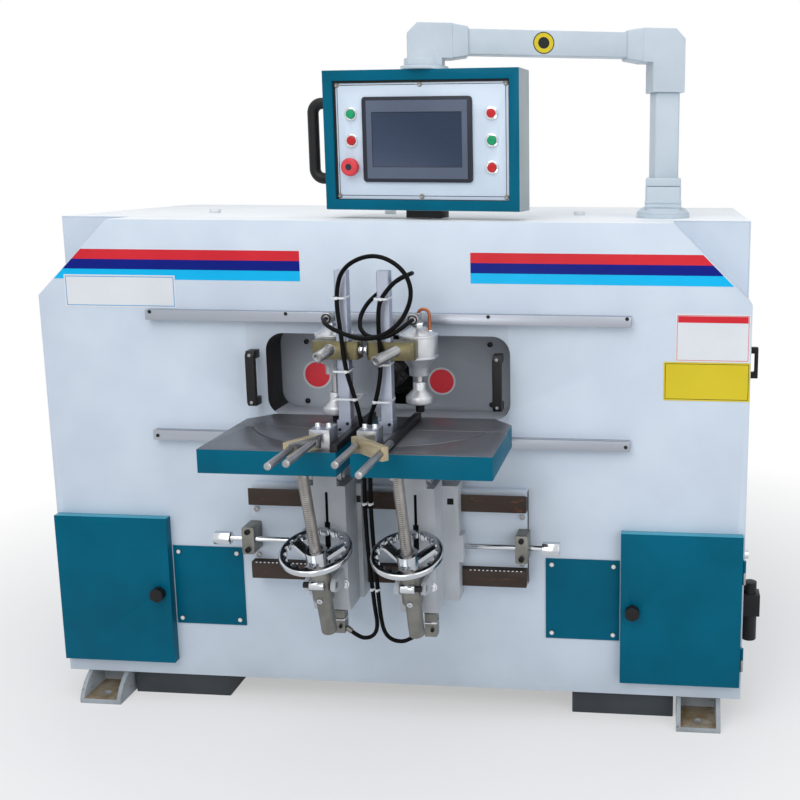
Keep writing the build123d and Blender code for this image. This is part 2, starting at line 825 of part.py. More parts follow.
# Control panel
yaw = radians(panel_yaw)
panel_plane = Plane(
    origin=(head_x, front + head_y, panel_centre_z),
    x_dir=(cos(yaw), -sin(yaw), 0),
    z_dir=(-sin(yaw), -cos(yaw), 0),
)
panel_front = panel_depth / 2
face_z = panel_front - panel_recess
with BuildPart(panel_plane) as panel_case:
    block((-panel_width / 2, panel_width / 2), (-panel_height / 2, panel_height / 2),
          (-panel_depth / 2, panel_front))
    block((-panel_width / 2 + panel_wall, panel_width / 2 - panel_wall),
          (-panel_height / 2 + panel_wall, panel_height / 2 - panel_wall),
          (-panel_depth / 2 + sheet, panel_front + 1), mode=Mode.SUBTRACT)
    rod((0, panel_height / 2, 0), (0, panel_height / 2 + panel_flange_height, 0), panel_flange_radius)
    rod((0, panel_height / 2, 0), (0, panel_height / 2 + panel_flange_height + 2 * neck_radius, 0),
        neck_radius)
    block((-entry_width / 2, entry_width / 2), (-panel_height / 2 - entry_drop, -panel_height / 2),
          (-entry_depth / 2, entry_depth / 2))
write(panel_case, "panel_case")

face_half_x = panel_width / 2 - panel_wall - face_gap / 2
face_half_y = panel_height / 2 - panel_wall - face_gap / 2
button_spots = {
    "start_button": (-button_column, button_rows[0]),
    "stop_button": (-button_column, button_rows[1]),
    "emergency_stop": (-button_column, button_rows[2]),
    "light_button": (button_column, button_rows[1]),
    "reset_button": (button_column, button_rows[2]),
}
lamp_spot = (button_column, button_rows[0])
with BuildPart(panel_plane) as panel_face:
    block((-face_half_x, face_half_x), (-face_half_y, face_half_y), (face_z - face_thickness, face_z))
    rod((*lamp_spot, face_z), (*lamp_spot, face_z + bezel_height), bezel_radius)
    rod((*lamp_spot, face_z), (*lamp_spot, face_z + button_proud), button_radius)
    for x, y in button_spots.values():
        rod((x, y, face_z), (x, y, face_z + bezel_height), bezel_radius)
        rod((x, y, face_z - 2 * face_thickness), (x, y, face_z + 2 * bezel_height), bezel_bore_radius,
            mode=Mode.SUBTRACT)
write(panel_face, "panel_face")

with BuildPart(panel_plane) as touch_screen:
    with BuildSketch(panel_plane.offset(face_z)):
        with Locations((screen_x, screen_y)):
            RectangleRounded(screen_width, screen_height, 8)
    extrude(amount=screen_proud)
    with BuildSketch(panel_plane.offset(face_z + screen_proud)):
        with Locations((screen_x, screen_y)):
            Rectangle(screen_glass_width, screen_glass_height)
    extrude(amount=-1, mode=Mode.SUBTRACT)
write(touch_screen, "touch_screen")

with BuildPart(panel_plane) as panel_handle:
    x0 = -panel_width / 2
    with BuildLine(panel_plane):
        FilletPolyline((x0, grip_length / 2, 0), (x0 - grip_offset, grip_length / 2, 0),
                       (x0 - grip_offset, -grip_length / 2, 0), (x0, -grip_length / 2, 0),
                       radius=2.2 * grip_radius)
    with BuildSketch(placed(panel_plane, Plane(origin=(x0, grip_length / 2, 0), z_dir=(-1, 0, 0)))):
        Circle(grip_radius)
    sweep()
write(panel_handle, "panel_handle")

for name, (x, y) in button_spots.items():
    with BuildPart(panel_plane) as button:
        if name == "emergency_stop":
            head_z = face_z + bezel_height + button_travel + 1
            rod((x, y, head_z), (x, y, head_z + stop_head_height), stop_head_radius)
            rod((x, y, face_z - button_tail), (x, y, head_z), stop_stem_radius)
            fillet(button.edges().filter_by(GeomType.CIRCLE).group_by(Axis(panel_plane.origin,
                                                                           panel_plane.z_dir))[-1],
                   radius=0.4 * stop_head_height)
        else:
            rod((x, y, face_z - button_tail), (x, y, face_z + button_proud), button_radius)
    write(button, name)

# Air preparation unit on the right side, dust spigot and cable gland at the back
unit_x = half_width + air_unit_width / 2
unit_y = front + air_unit_y
with BuildPart() as air_unit:
    block((half_width, half_width + air_unit_width),
          (unit_y - air_unit_depth / 2, unit_y + air_unit_depth / 2),
          (air_unit_z, air_unit_z + air_unit_height))
    rod((unit_x, unit_y, air_unit_z - air_bowl_height), (unit_x, unit_y, air_unit_z), air_bowl_radius)
    rod((unit_x, unit_y, air_unit_z + air_unit_height),
        (unit_x, unit_y, air_unit_z + air_unit_height + air_knob_height), air_knob_radius)
    port_z = air_unit_z + air_unit_height / 2
    rod((unit_x, unit_y + air_unit_depth / 2 - air_port_depth, port_z),
        (unit_x, unit_y + air_unit_depth, port_z), air_port_radius, mode=Mode.SUBTRACT)
write(air_unit, "air_unit")

with BuildPart() as rear_ports:
    rod((spigot_x, back, spigot_z), (spigot_x, back + sheet, spigot_z), spigot_radius + spigot_flange)
    rod((spigot_x, back, spigot_z), (spigot_x, back + spigot_length, spigot_z), spigot_radius)
    rod((spigot_x, back - 1, spigot_z), (spigot_x, back + spigot_length + 1, spigot_z),
        spigot_radius - spigot_wall,
        mode=Mode.SUBTRACT)
    with BuildSketch(Plane.XZ.offset(-back)):
        with Locations((gland_x, gland_z)):
            RegularPolygon(gland_radius, 6)
    extrude(amount=-gland_length)
write(rear_ports, "rear_ports")

# Table carriages with all that they carry
for name, s in sides.items():
    strut_plane = Plane(
        origin=at(s, column_x, trunnion_y, trunnion_z),
        x_dir=(1, 0, 0),
        z_dir=(0, -sin(strut_lean), cos(strut_lean)),
    )
    lug_half = trunnion_radius + trunnion_lug_gap

    with BuildPart() as carriage:
        saddle_back = front - bed_thickness - way_depth - slide_clear
        block((s * saddle_inner_x, s * saddle_outer_x), (front + column_back_y, saddle_back),
              (saddle_bottom_z, saddle_top_z))
        keeper_back = front - bed_thickness - 2
        slope = way_undercut / way_depth
        upper = way_upper_z + way_height + 2 * slide_clear
        lower = way_lower_z - 2 * slide_clear
        reach = keeper_back - saddle_back
        for edge, limit, sign in ((upper, saddle_top_z, -1), (lower, saddle_bottom_z - 12, 1)):
            with BuildSketch(Plane.YZ.offset(s * saddle_inner_x)):
                Polygon((saddle_back, edge), (keeper_back, edge + sign * slope * reach), (keeper_back, limit),
                        (front + column_back_y, limit), (front + column_back_y, edge), align=None)
            extrude(amount=s * (saddle_outer_x - saddle_inner_x))
        block((s * (column_x - column_width / 2), s * (column_x + column_width / 2)),
              (front + column_front_y, front + column_back_y), (column_bottom_z, column_top_z))
        with BuildSketch(Plane.YZ.offset(s * column_x)):
            Polygon((front + column_front_y, column_bottom_z),
                    (front + column_front_y + column_relief, column_bottom_z),
                    (front + column_front_y, column_bottom_z + column_relief_height), align=None)
        extrude(amount=column_width / 2, both=True, mode=Mode.SUBTRACT)
        block((s * column_x - column_slot / 2, s * column_x + column_slot / 2),
              (front + column_front_y - 1, front + column_front_y + 2 * column_slot),
              (column_bottom_z + column_relief_height, column_top_z - column_relief), mode=Mode.SUBTRACT)
        block((s * column_x - column_slot, s * column_x + column_slot),
              (front + column_front_y - 1, front + column_front_y + 2 * column_slot),
              (column_recess_z - column_recess_height / 2, column_recess_z + column_recess_height / 2),
              mode=Mode.SUBTRACT)
        with BuildSketch(Plane.YZ.offset(s * (column_x - knuckle_half))):
            with Locations((front + pivot_y, pivot_z)):
                Circle(knuckle_radius)
            Polygon((front + pivot_y - knuckle_radius, column_top_z),
                    (front + pivot_y - knuckle_radius, pivot_z),
                    (front + pivot_y + knuckle_radius, pivot_z),
                    (front + pivot_y + 2.4 * knuckle_radius, column_top_z), align=None)
        extrude(amount=s * 2 * knuckle_half)
        pin_half = knuckle_half + bracket_gap + bracket_wall + 2
        rod(at(s, column_x - pin_half, pivot_y, pivot_z), at(s, column_x + pin_half, pivot_y, pivot_z),
            pivot_pin_radius)
        pocket_x = (column_x + column_width / 2 + saddle_outer_x) / 2
        block((s * (pocket_x - saddle_pocket / 2), s * (pocket_x + saddle_pocket / 2)),
              (front + column_back_y, front + column_back_y + saddle_pocket / 2),
              (saddle_top_z - 3 * saddle_pocket, saddle_top_z - 2 * saddle_pocket), mode=Mode.SUBTRACT)
        block((s * saddle_outer_x, s * (saddle_outer_x + nut_plate)), (front + column_back_y, saddle_back),
              (screw_z - nut_plate_height / 2, screw_z + nut_plate_height / 2))
        rod(at(s, saddle_inner_x - 1, screw_y, screw_z),
            at(s, saddle_outer_x + nut_plate + 1, screw_y, screw_z),
            screw_radius + screw_nut_clear, mode=Mode.SUBTRACT)
        for side_x in (-lug_half - trunnion_lug_wall, lug_half):
            with BuildSketch(Plane.YZ.offset(s * column_x + side_x)):
                with Locations((front + trunnion_y, trunnion_z)):
                    Circle(trunnion_lug_radius)
                Polygon((front + trunnion_y, trunnion_z + trunnion_lug_radius),
                        (front + trunnion_y, trunnion_z - trunnion_lug_radius),
                        (front + column_front_y, trunnion_z - 2 * trunnion_lug_radius),
                        (front + column_front_y, trunnion_z + trunnion_lug_radius), align=None)
                with Locations((front + trunnion_y, trunnion_z)):
                    Circle(trunnion_pin_radius + trunnion_pin_clear, mode=Mode.SUBTRACT)
            extrude(amount=trunnion_lug_wall)
        block((s * (port_x[name] - port_size / 2), s * (port_x[name] + port_size / 2)),
              (front + port_y - port_size / 2, front + port_y + port_size / 2),
              (column_bottom_z - port_drop, column_bottom_z))
        rod(nipple_end(name, -nipple_length), nipple_end(name, 0), nipple_radius)
    write(carriage, f"carriage_{name}")

    with BuildPart() as feed_screw:
        rod(at(s, screw_inner_x, screw_y, screw_z), at(s, screw_hex_inner_x, screw_y, screw_z), screw_radius)
        with BuildSketch(Plane.YZ.offset(s * screw_hex_inner_x)):
            with Locations((front + screw_y, screw_z)):
                RegularPolygon(screw_hex / 2, 6, major_radius=False)
        extrude(amount=s * screw_hex_length)
    write(feed_screw, f"feed_screw_{name}")

    with BuildPart() as table:
        corners = [(s * table_inner_x, front + table_front_y), (s * table_outer_x, front + table_front_y),
                   (s * table_outer_x, front + table_back_y - table_cut_y),
                   (s * (table_outer_x - table_cut_x), front + table_back_y),
                   (s * table_inner_x, front + table_back_y)]
        with BuildSketch(Plane.XY.offset(table_top_z)):
            Polygon(*corners, align=None)
        extrude(amount=-table_apron)
        with BuildSketch(Plane.XY.offset(table_top_z - table_plate)):
            Polygon(*corners, align=None)
            offset(amount=-table_wall, kind=Kind.INTERSECTION, mode=Mode.REPLACE)
        extrude(amount=-table_apron, mode=Mode.SUBTRACT)
        block((s * (table_inner_x - 1), s * (table_outer_x + 1)),
              (front + groove_line_y, front + groove_line_y + groove_line),
              (table_top_z - groove_line / 2, table_top_z + 1), mode=Mode.SUBTRACT)
        with BuildSketch(Plane.XY.offset(table_top_z)):
            start, sweep_angle = (-25, -62) if s > 0 else (-155, 62)
            SlotArc(CenterArc((s * arc_centre_x, front + arc_centre_y), arc_radius, start, sweep_angle),
                    arc_width)
        extrude(amount=-arc_depth, mode=Mode.SUBTRACT)
        for side_x in (-knuckle_half - bracket_gap - bracket_wall, knuckle_half + bracket_gap):
            with BuildSketch(Plane.YZ.offset(s * column_x + side_x)):
                with Locations((front + pivot_y, pivot_z)):
                    Circle(knuckle_radius)
                ceiling = table_top_z - table_plate
                Polygon((front + pivot_y - knuckle_radius, pivot_z),
                        (front + pivot_y - 2 * knuckle_radius, ceiling),
                        (front + pivot_y + 2 * knuckle_radius, ceiling),
                        (front + pivot_y + knuckle_radius, pivot_z),
                        align=None)
                with Locations((front + pivot_y, pivot_z)):
                    Circle(pivot_pin_radius + pivot_clear, mode=Mode.SUBTRACT)
            extrude(amount=bracket_wall)
        with BuildSketch(Plane.YZ.offset(s * column_x)):
            with Locations((front + strut_top_y, strut_top_z)):
                Circle(lug_radius)
            Polygon((front + strut_top_y - lug_radius, strut_top_z),
                    (front + strut_top_y - lug_radius, ceiling),
                    (front + strut_top_y + lug_radius, ceiling),
                    (front + strut_top_y + lug_radius, strut_top_z),
                    align=None)
            with Locations((front + strut_top_y, strut_top_z)):
                Circle(lug_hole_radius, mode=Mode.SUBTRACT)
        extrude(amount=lug_thickness / 2, both=True)
    write(table, f"table_{name}")

    with BuildPart(strut_plane) as trunnion:
        rod((0, 0, trunnion_bottom), (0, 0, trunnion_top), trunnion_radius)
        rod((0, 0, tube_end), (0, 0, trunnion_bottom), tube_radius)
        pin_half = lug_half + trunnion_lug_wall
        rod((-pin_half, 0, 0), (pin_half, 0, 0), trunnion_pin_radius)
        rod((-lock_half, lock_y, lock_z), (lock_half, lock_y, lock_z), lock_radius)
        rod((s * lock_half, lock_y, lock_z), (s * (lock_half + lock_knob_length), lock_y, lock_z),
            lock_knob_radius)
        rod((0, 0, tube_end + 4), (0, 0, trunnion_top + 1), strut_screw_radius + strut_clear,
            mode=Mode.SUBTRACT)
        rod((0, 0, trunnion_counterbore_end), (0, 0, trunnion_top + 1), strut_radius + strut_clear,
            mode=Mode.SUBTRACT)
    write(trunnion, f"trunnion_{name}")

    with BuildPart(strut_plane) as handwheel:
        hub_base = trunnion_top + hub_gap
        rim_base = hub_base + wheel_dish
        with BuildSketch(strut_plane.offset(rim_base)):
            Circle(wheel_radius)
            Circle(wheel_radius - wheel_rim_width, mode=Mode.SUBTRACT)
        extrude(amount=wheel_rim_height)
        fillet(handwheel.edges().filter_by(GeomType.CIRCLE).sort_by(SortBy.RADIUS)[-2:],
               radius=wheel_rim_fillet)
        with BuildSketch(strut_plane.offset(rim_base)):
            with PolarLocations(wheel_radius - wheel_rim_width, wheel_scallops):
                Circle(wheel_scallop_radius)
        extrude(amount=wheel_rim_height, mode=Mode.SUBTRACT)
        rod((0, 0, hub_base), (0, 0, hub_base + hub_height), hub_radius)
        for turn in (30, 150, 270):
            outward = Vector(cos(radians(turn)), sin(radians(turn)), 0)
            start = outward * (hub_radius - 3) + Vector(0, 0, hub_base + spoke_thickness)
            rim_middle = rim_base + wheel_rim_height / 2
            end = outward * (wheel_radius - wheel_rim_width / 2) + Vector(0, 0, rim_middle)
            with Locations(Plane(origin=start, x_dir=Vector(0, 0, 1).cross(outward), z_dir=end - start)):
                Box(spoke_width, spoke_thickness, (end - start).length,
                    align=(Align.CENTER, Align.CENTER, Align.MIN))
        rod((0, 0, hub_base - 1), (0, 0, hub_base + hub_height + 1), strut_radius + strut_clear,
            mode=Mode.SUBTRACT)
    write(handwheel, f"handwheel_{name}")

    with BuildPart(strut_plane) as strut:
        rod((0, 0, strut_shoulder), (0, 0, fork_start), strut_radius)
        rod((0, 0, strut_screw_end), (0, 0, strut_shoulder), strut_screw_radius)
        cheek_in = lug_thickness / 2 + fork_side_gap
        cheek_out = cheek_in + fork_wall
        block((-cheek_out, cheek_out), (-fork_eye_radius, fork_eye_radius),
              (fork_start - fork_wall, fork_start))
        for x in (-cheek_out, cheek_in):
            with BuildSketch(placed(strut_plane, Plane.YZ.offset(x))):
                with Locations((0, strut_reach)):
                    Circle(fork_eye_radius)
                Polygon((-fork_eye_radius, fork_start - fork_wall), (-fork_eye_radius, strut_reach),
                        (fork_eye_radius, strut_reach), (fork_eye_radius, fork_start - fork_wall), align=None)
            extrude(amount=fork_wall)
        rod((-cheek_out, 0, strut_reach), (cheek_out, 0, strut_reach), fork_pin_radius)
    write(strut, f"strut_{name}")

    with BuildPart() as fence:
        x = s * fence_x[name]
        block((x - fence_size / 2, x + fence_size / 2), (front + fence_front_y, front + fence_back_y),
              (table_top_z, table_top_z + fence_size))
    write(fence, f"fence_{name}")

    with BuildPart() as clamp_column:
        with BuildSketch(Plane.XY.offset(table_top_z)):
            with Locations((s * clamp_x, front + clamp_y)):
                RectangleRounded(clamp_base_x, clamp_base_y, 3)
        extrude(amount=clamp_base_height)
        with BuildSketch(Plane.XY.offset(table_top_z)):
            with Locations((s * clamp_x, front + clamp_y)):
                RectangleRounded(clamp_column_size, clamp_column_size, clamp_column_corner)
        extrude(amount=clamp_column_top_z - table_top_z)
    write(clamp_column, f"clamp_column_{name}")

    cylinder_x = clamp_x + cylinder_reach[name]
    with BuildPart() as clamp_bracket:
        with BuildSketch(Plane.XY.offset(bracket_bottom_z)):
            with Locations((s * (clamp_x + (bracket_outer - bracket_inner) / 2), front + clamp_y)):
                RectangleRounded(bracket_inner + bracket_outer, bracket_depth, 10)
        extrude(amount=bracket_height)
        arm_x = min(cylinder_x, clamp_x + bracket_outer)
        block((s * (arm_x - 14), s * cylinder_x), (front + clamp_y, front + cylinder_y),
              (bracket_bottom_z, bracket_bottom_z + bracket_height))
        bar_x = clamp_x + lock_bar_x[name]
        bar_z = bracket_bottom_z + bracket_height / 2
        bar_root = Vector(at(s, bar_x, clamp_y - bracket_depth / 2, bar_z))
        bar_run = Vector(lock_bar_run[name])
        rod(bar_root - bar_run.normalized() * lock_bar_root, bar_root + bar_run, lock_bar_radius)
        with BuildSketch(Plane.XY.offset(bracket_bottom_z)):
            with Locations((s * clamp_x, front + clamp_y)):
                RectangleRounded(clamp_column_size + 2 * clamp_fit, clamp_column_size + 2 * clamp_fit,
                                 clamp_column_corner)
        extrude(amount=bracket_height, mode=Mode.SUBTRACT)
        block((s * (clamp_x - bracket_inner - 1), s * clamp_x),
              (front + clamp_y - bracket_slit / 2, front + clamp_y + bracket_slit / 2),
              (bracket_bottom_z - 1, bracket_bottom_z + bracket_height + 1), mode=Mode.SUBTRACT)
        rod(at(s, cylinder_x, cylinder_y, cylinder_bottom_z),
            at(s, cylinder_x, cylinder_y, cylinder_bottom_z + cylinder_height), cylinder_radius + rod_clear,
            mode=Mode.SUBTRACT)
        cylinder_top = cylinder_bottom_z + cylinder_height
        cap_top = cylinder_top + cylinder_cap_height
        neck_end = cylinder_bottom_z - cylinder_neck_length
        lathe(s, cylinder_x, (
            (0, neck_end), (cylinder_neck_radius, neck_end),
            (cylinder_neck_radius, cylinder_bottom_z - cylinder_neck_taper),
            (cylinder_radius - cylinder_bevel, cylinder_bottom_z),
            (cylinder_radius, cylinder_bottom_z + cylinder_bevel),
            (cylinder_radius, cylinder_top - cylinder_bevel),
            (cylinder_radius - cylinder_bevel, cylinder_top),
            (cylinder_cap_radius, cap_top), (0, cap_top),
        ))
        rod(at(s, cylinder_x, cylinder_y, cylinder_top),
            at(s, cylinder_x, cylinder_y, elbow_z + elbow_radius), elbow_radius)
        rod(elbow_end(name, -elbow_reach), elbow_end(name, 0), elbow_radius - 1)
        rod(at(s, cylinder_x, cylinder_y, neck_end - 1),
            at(s, cylinder_x, cylinder_y, cylinder_bottom_z + piston_engaged), piston_radius + piston_clear,
            mode=Mode.SUBTRACT)
    write(clamp_bracket, f"clamp_bracket_{name}")

    with BuildPart() as clamp_foot:
        drop = foot_drop[name]
        disc_z = foot_disc_z - drop
        disc_top = disc_z + foot_disc_height
        neck_top = foot_neck_top_z - drop
        rod(at(s, cylinder_x, cylinder_y, disc_z),
            at(s, cylinder_x, cylinder_y, cylinder_bottom_z + piston_engaged - 6 - drop), piston_radius)
        lathe(s, cylinder_x, (
            (0, disc_z), (foot_disc_radius - 2, disc_z), (foot_disc_radius, disc_z + 2),
            (foot_disc_radius, disc_top), (foot_neck_radius, disc_top + foot_cone_height),
            (foot_neck_radius, neck_top), (0, neck_top),
        ))
        rod(at(s, cylinder_x, cylinder_y, foot_pad_z - drop), at(s, cylinder_x, cylinder_y, disc_z),
            foot_pad_radius)
    write(clamp_foot, f"clamp_foot_{name}")

    guide_x = guide_rod_x[name]
    slide_x = stop_rod_x[name]
    with BuildPart() as stop_block:
        low_x, high_x = stop_block_x[name]
        block((s * low_x, s * high_x), tuple(front + y for y in stop_block_y),
              (table_top_z, table_top_z + stop_block_height))
        inner = Vector(at(s, guide_x, link_inner_y[name], 0))
        outer = Vector(at(s, slide_x, link_outer_y[name], 0))
        with BuildSketch(Plane.XY.offset(rod_z - link_height / 2)):
            with Locations((inner + outer) / 2):
                Rectangle((outer - inner).length + 2 * link_end, link_width,
                          rotation=degrees(atan2(outer.Y - inner.Y, outer.X - inner.X)))
        extrude(amount=link_height)
        for x, y in ((guide_x, link_inner_y[name]), (slide_x, link_outer_y[name])):
            reach = 2 * link_width
            rod(at(s, x, y - reach, rod_z), at(s, x, min(y + reach, stop_block_y[0]), rod_z),
                rod_radius + rod_clear, mode=Mode.SUBTRACT)
        rod(at(s, guide_x, stop_block_y[0], rod_z), at(s, guide_x, guide_rod_end_y, rod_z), rod_radius)
    write(stop_block, f"stop_block_{name}")

    with BuildPart() as stop_rod:
        low_y, high_y = stop_rod_y[name]
        rod(at(s, slide_x, low_y, rod_z), at(s, slide_x, high_y, rod_z), rod_radius)
    write(stop_rod, f"stop_rod_{name}")

# Air hoses from the port under each column to the clamp cylinder, y measured from the front plate
hose_points = {
    "left": [
        (-23.4, -128, 235.8), (-6.5, -132, 249), (0.5, -138, 275), (-2, -146, 312),
        (-4.5, -152, 360), (-7.5, -158, 420), (-11, -160, 485), (-13, -162, 560),
        (-9, -168, 630), (-6, -180, 690), (-5, -190, 740), (-14, -197, 790),
        (-33, -199, 855), (-40, -196, 925), (-50, -192, 1000), (-33, -198, 1062),
        (37, -215, 1092), (98, -226, 1066), (121, -234, 1016), (101, -241, 962),
        (62, -243, 930), (18, -238, 921), (-24, -226, 929), (-62, -210, 942),
    ],
    "right": [
        (53.5, -130, 231), (30, -135, 237), (16, -142, 257), (11, -148, 292),
        (9, -153, 336), (6.5, -158, 400), (2, -160, 480), (0, -162, 560),
        (4, -168, 630), (6.5, -181, 690), (11, -191, 745), (31, -196, 795),
        (41, -192, 855), (37, -192, 925), (38, -193, 985), (54, -194, 1012),
        (80, -194, 1038), (100, -174, 1046), (100, -146, 1046), (80, -126, 1038),
        (50, -127, 1020), (22, -134, 1002), (1, -156, 979), (-4, -188, 952),
        (8, -212, 930), (36, -221, 921), (62, -220, 924), (86, -208, 938),
    ],
}
for name, points in hose_points.items():
    route = [Vector(nipple_end(name, 0)), Vector(nipple_end(name, hose_lead))]
    route += [Vector(at(1, *point)) for point in points]
    route += [Vector(elbow_end(name, hose_lead)), Vector(elbow_end(name, 0))]
    runs = [b - a for a, b in zip(route, route[1:])]
    turns = [a.get_angle(b) for a, b in zip(runs, runs[1:])]
    radii = [
        0.45 * min(a.length, b.length) / tan(radians(turn) / 2)
        for a, b, turn in zip(runs, runs[1:], turns)
    ]
    print(f"hose {name}: least radius {min(radii):.1f}, most turn {max(turns):.0f},",
          "radii", [round(r) for r in radii])
    with BuildPart() as air_hose:
        with BuildLine() as hose_line:
            FilletPolyline(*route, radius=radii)
        with BuildSketch(Plane(origin=route[0], z_dir=runs[0])):
            Circle(hose_radius)
        sweep()
    length = sum(edge.length for edge in hose_line.edges())
    ratio = air_hose.part.volume / (pi * hose_radius**2 * length)
    print(f"hose {name}: length {length:.0f}, volume ratio {ratio:.4f}")
    write(air_hose, f"air_hose_{name}")
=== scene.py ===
"""Visual model of a twin-table tenoning machine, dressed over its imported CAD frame, in metres."""

import json
import logging
import math
from dataclasses import dataclass
from enum import Enum
from typing import Callable, Optional, Sequence, TypeVar, Union

import bpy
from mathutils import Matrix, Vector

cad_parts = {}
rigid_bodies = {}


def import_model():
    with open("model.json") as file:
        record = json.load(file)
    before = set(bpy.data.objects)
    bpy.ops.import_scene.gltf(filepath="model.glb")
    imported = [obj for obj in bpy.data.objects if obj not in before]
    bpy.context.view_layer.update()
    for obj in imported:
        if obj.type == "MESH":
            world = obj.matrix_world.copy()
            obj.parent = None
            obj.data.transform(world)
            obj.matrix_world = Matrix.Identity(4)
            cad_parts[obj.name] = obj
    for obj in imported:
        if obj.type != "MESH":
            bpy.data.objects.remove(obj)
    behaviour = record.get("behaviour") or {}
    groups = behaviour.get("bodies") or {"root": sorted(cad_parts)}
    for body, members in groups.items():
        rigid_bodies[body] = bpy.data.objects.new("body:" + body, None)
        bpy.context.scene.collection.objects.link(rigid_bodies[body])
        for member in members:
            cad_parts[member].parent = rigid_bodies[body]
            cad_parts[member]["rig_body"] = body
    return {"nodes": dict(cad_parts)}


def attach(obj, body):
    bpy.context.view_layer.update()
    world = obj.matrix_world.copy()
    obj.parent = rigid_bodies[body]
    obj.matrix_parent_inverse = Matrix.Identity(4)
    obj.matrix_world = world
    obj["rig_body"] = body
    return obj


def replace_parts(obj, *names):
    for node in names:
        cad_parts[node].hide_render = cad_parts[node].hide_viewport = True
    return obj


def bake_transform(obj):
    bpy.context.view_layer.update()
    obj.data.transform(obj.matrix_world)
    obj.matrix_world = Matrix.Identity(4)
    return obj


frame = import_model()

LOG = logging.getLogger("tenoning_machine")
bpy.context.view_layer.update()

# Y of the front plate, the shared directions, and the angle from which an edge counts as sharp
FRONT = -0.4
HERE = Matrix.Identity(4)
ACROSS, OUT, BACK, UP = (1, 0, 0), (0, -1, 0), (0, 1, 0), (0, 0, 1)
SHARP = math.radians(35)
ENDS = (("low", -1), ("top", 1))
ANY = (-math.inf, math.inf)

Item = TypeVar("Item")
Span = tuple[float, float]
Point = tuple[float, float, float]
Spot = Sequence[float]
Rings = Sequence[Span]
Piece = bpy.types.Object
Tree = bpy.types.NodeTree
Socket = bpy.types.NodeSocket
Value = Union[float, tuple, Socket]
FaceTest = Callable[[Vector, Vector], bool]
Faces = Sequence[tuple["Finish", FaceTest]]


class Side(Enum):
    """One of the two work stations, with the sign of its X."""

    LEFT = -1
    RIGHT = 1

    @property
    def tag(self) -> str:
        """Ending of this side's node and body names."""
        return self.name.lower()

    def of(self, pair: tuple[Item, Item]) -> Item:
        """This side's item of a pair that names the left one first."""
        return pair[self is Side.RIGHT]

    def at(self, x: float, y: float, z: float) -> Vector:
        """Point on this side in the machine's frame, with y measured from the front plate."""
        return Vector((self.value * x, FRONT + y, z))


def linear(code: str) -> tuple[float, float, float, float]:
    """Turn an sRGB hex value into a linear colour.

    Args:
        code: Colour as "#RRGGBB".

    Returns:
        Red, green, blue and an alpha of 1.
    """
    parts = [int(code[i:i + 2], 16) / 255 for i in (1, 3, 5)]
    return (*(c / 12.92 if c <= 0.04045 else ((c + 0.055) / 1.055) ** 2.4 for c in parts), 1.0)


def add_node(
    tree: Tree, kind: str, inputs: Optional[dict[Union[str, int], Value]] = None, **settings: object
) -> bpy.types.Node:
    """Add a shader node with its settings, values and links.

    Args:
        tree: Node tree that gets the node.
        kind: Blender's name of the node type.
        inputs: Value or source socket for each named or numbered input.
        **settings: Attributes of the node.

    Returns:
        The new node.
    """
    node = tree.nodes.new(kind)
    for key, value in settings.items():
        setattr(node, key, value)
    for key, value in (inputs or {}).items():
        if isinstance(value, Socket):
            tree.links.new(value, node.inputs[key])
        else:
            node.inputs[key].default_value = value
    return node


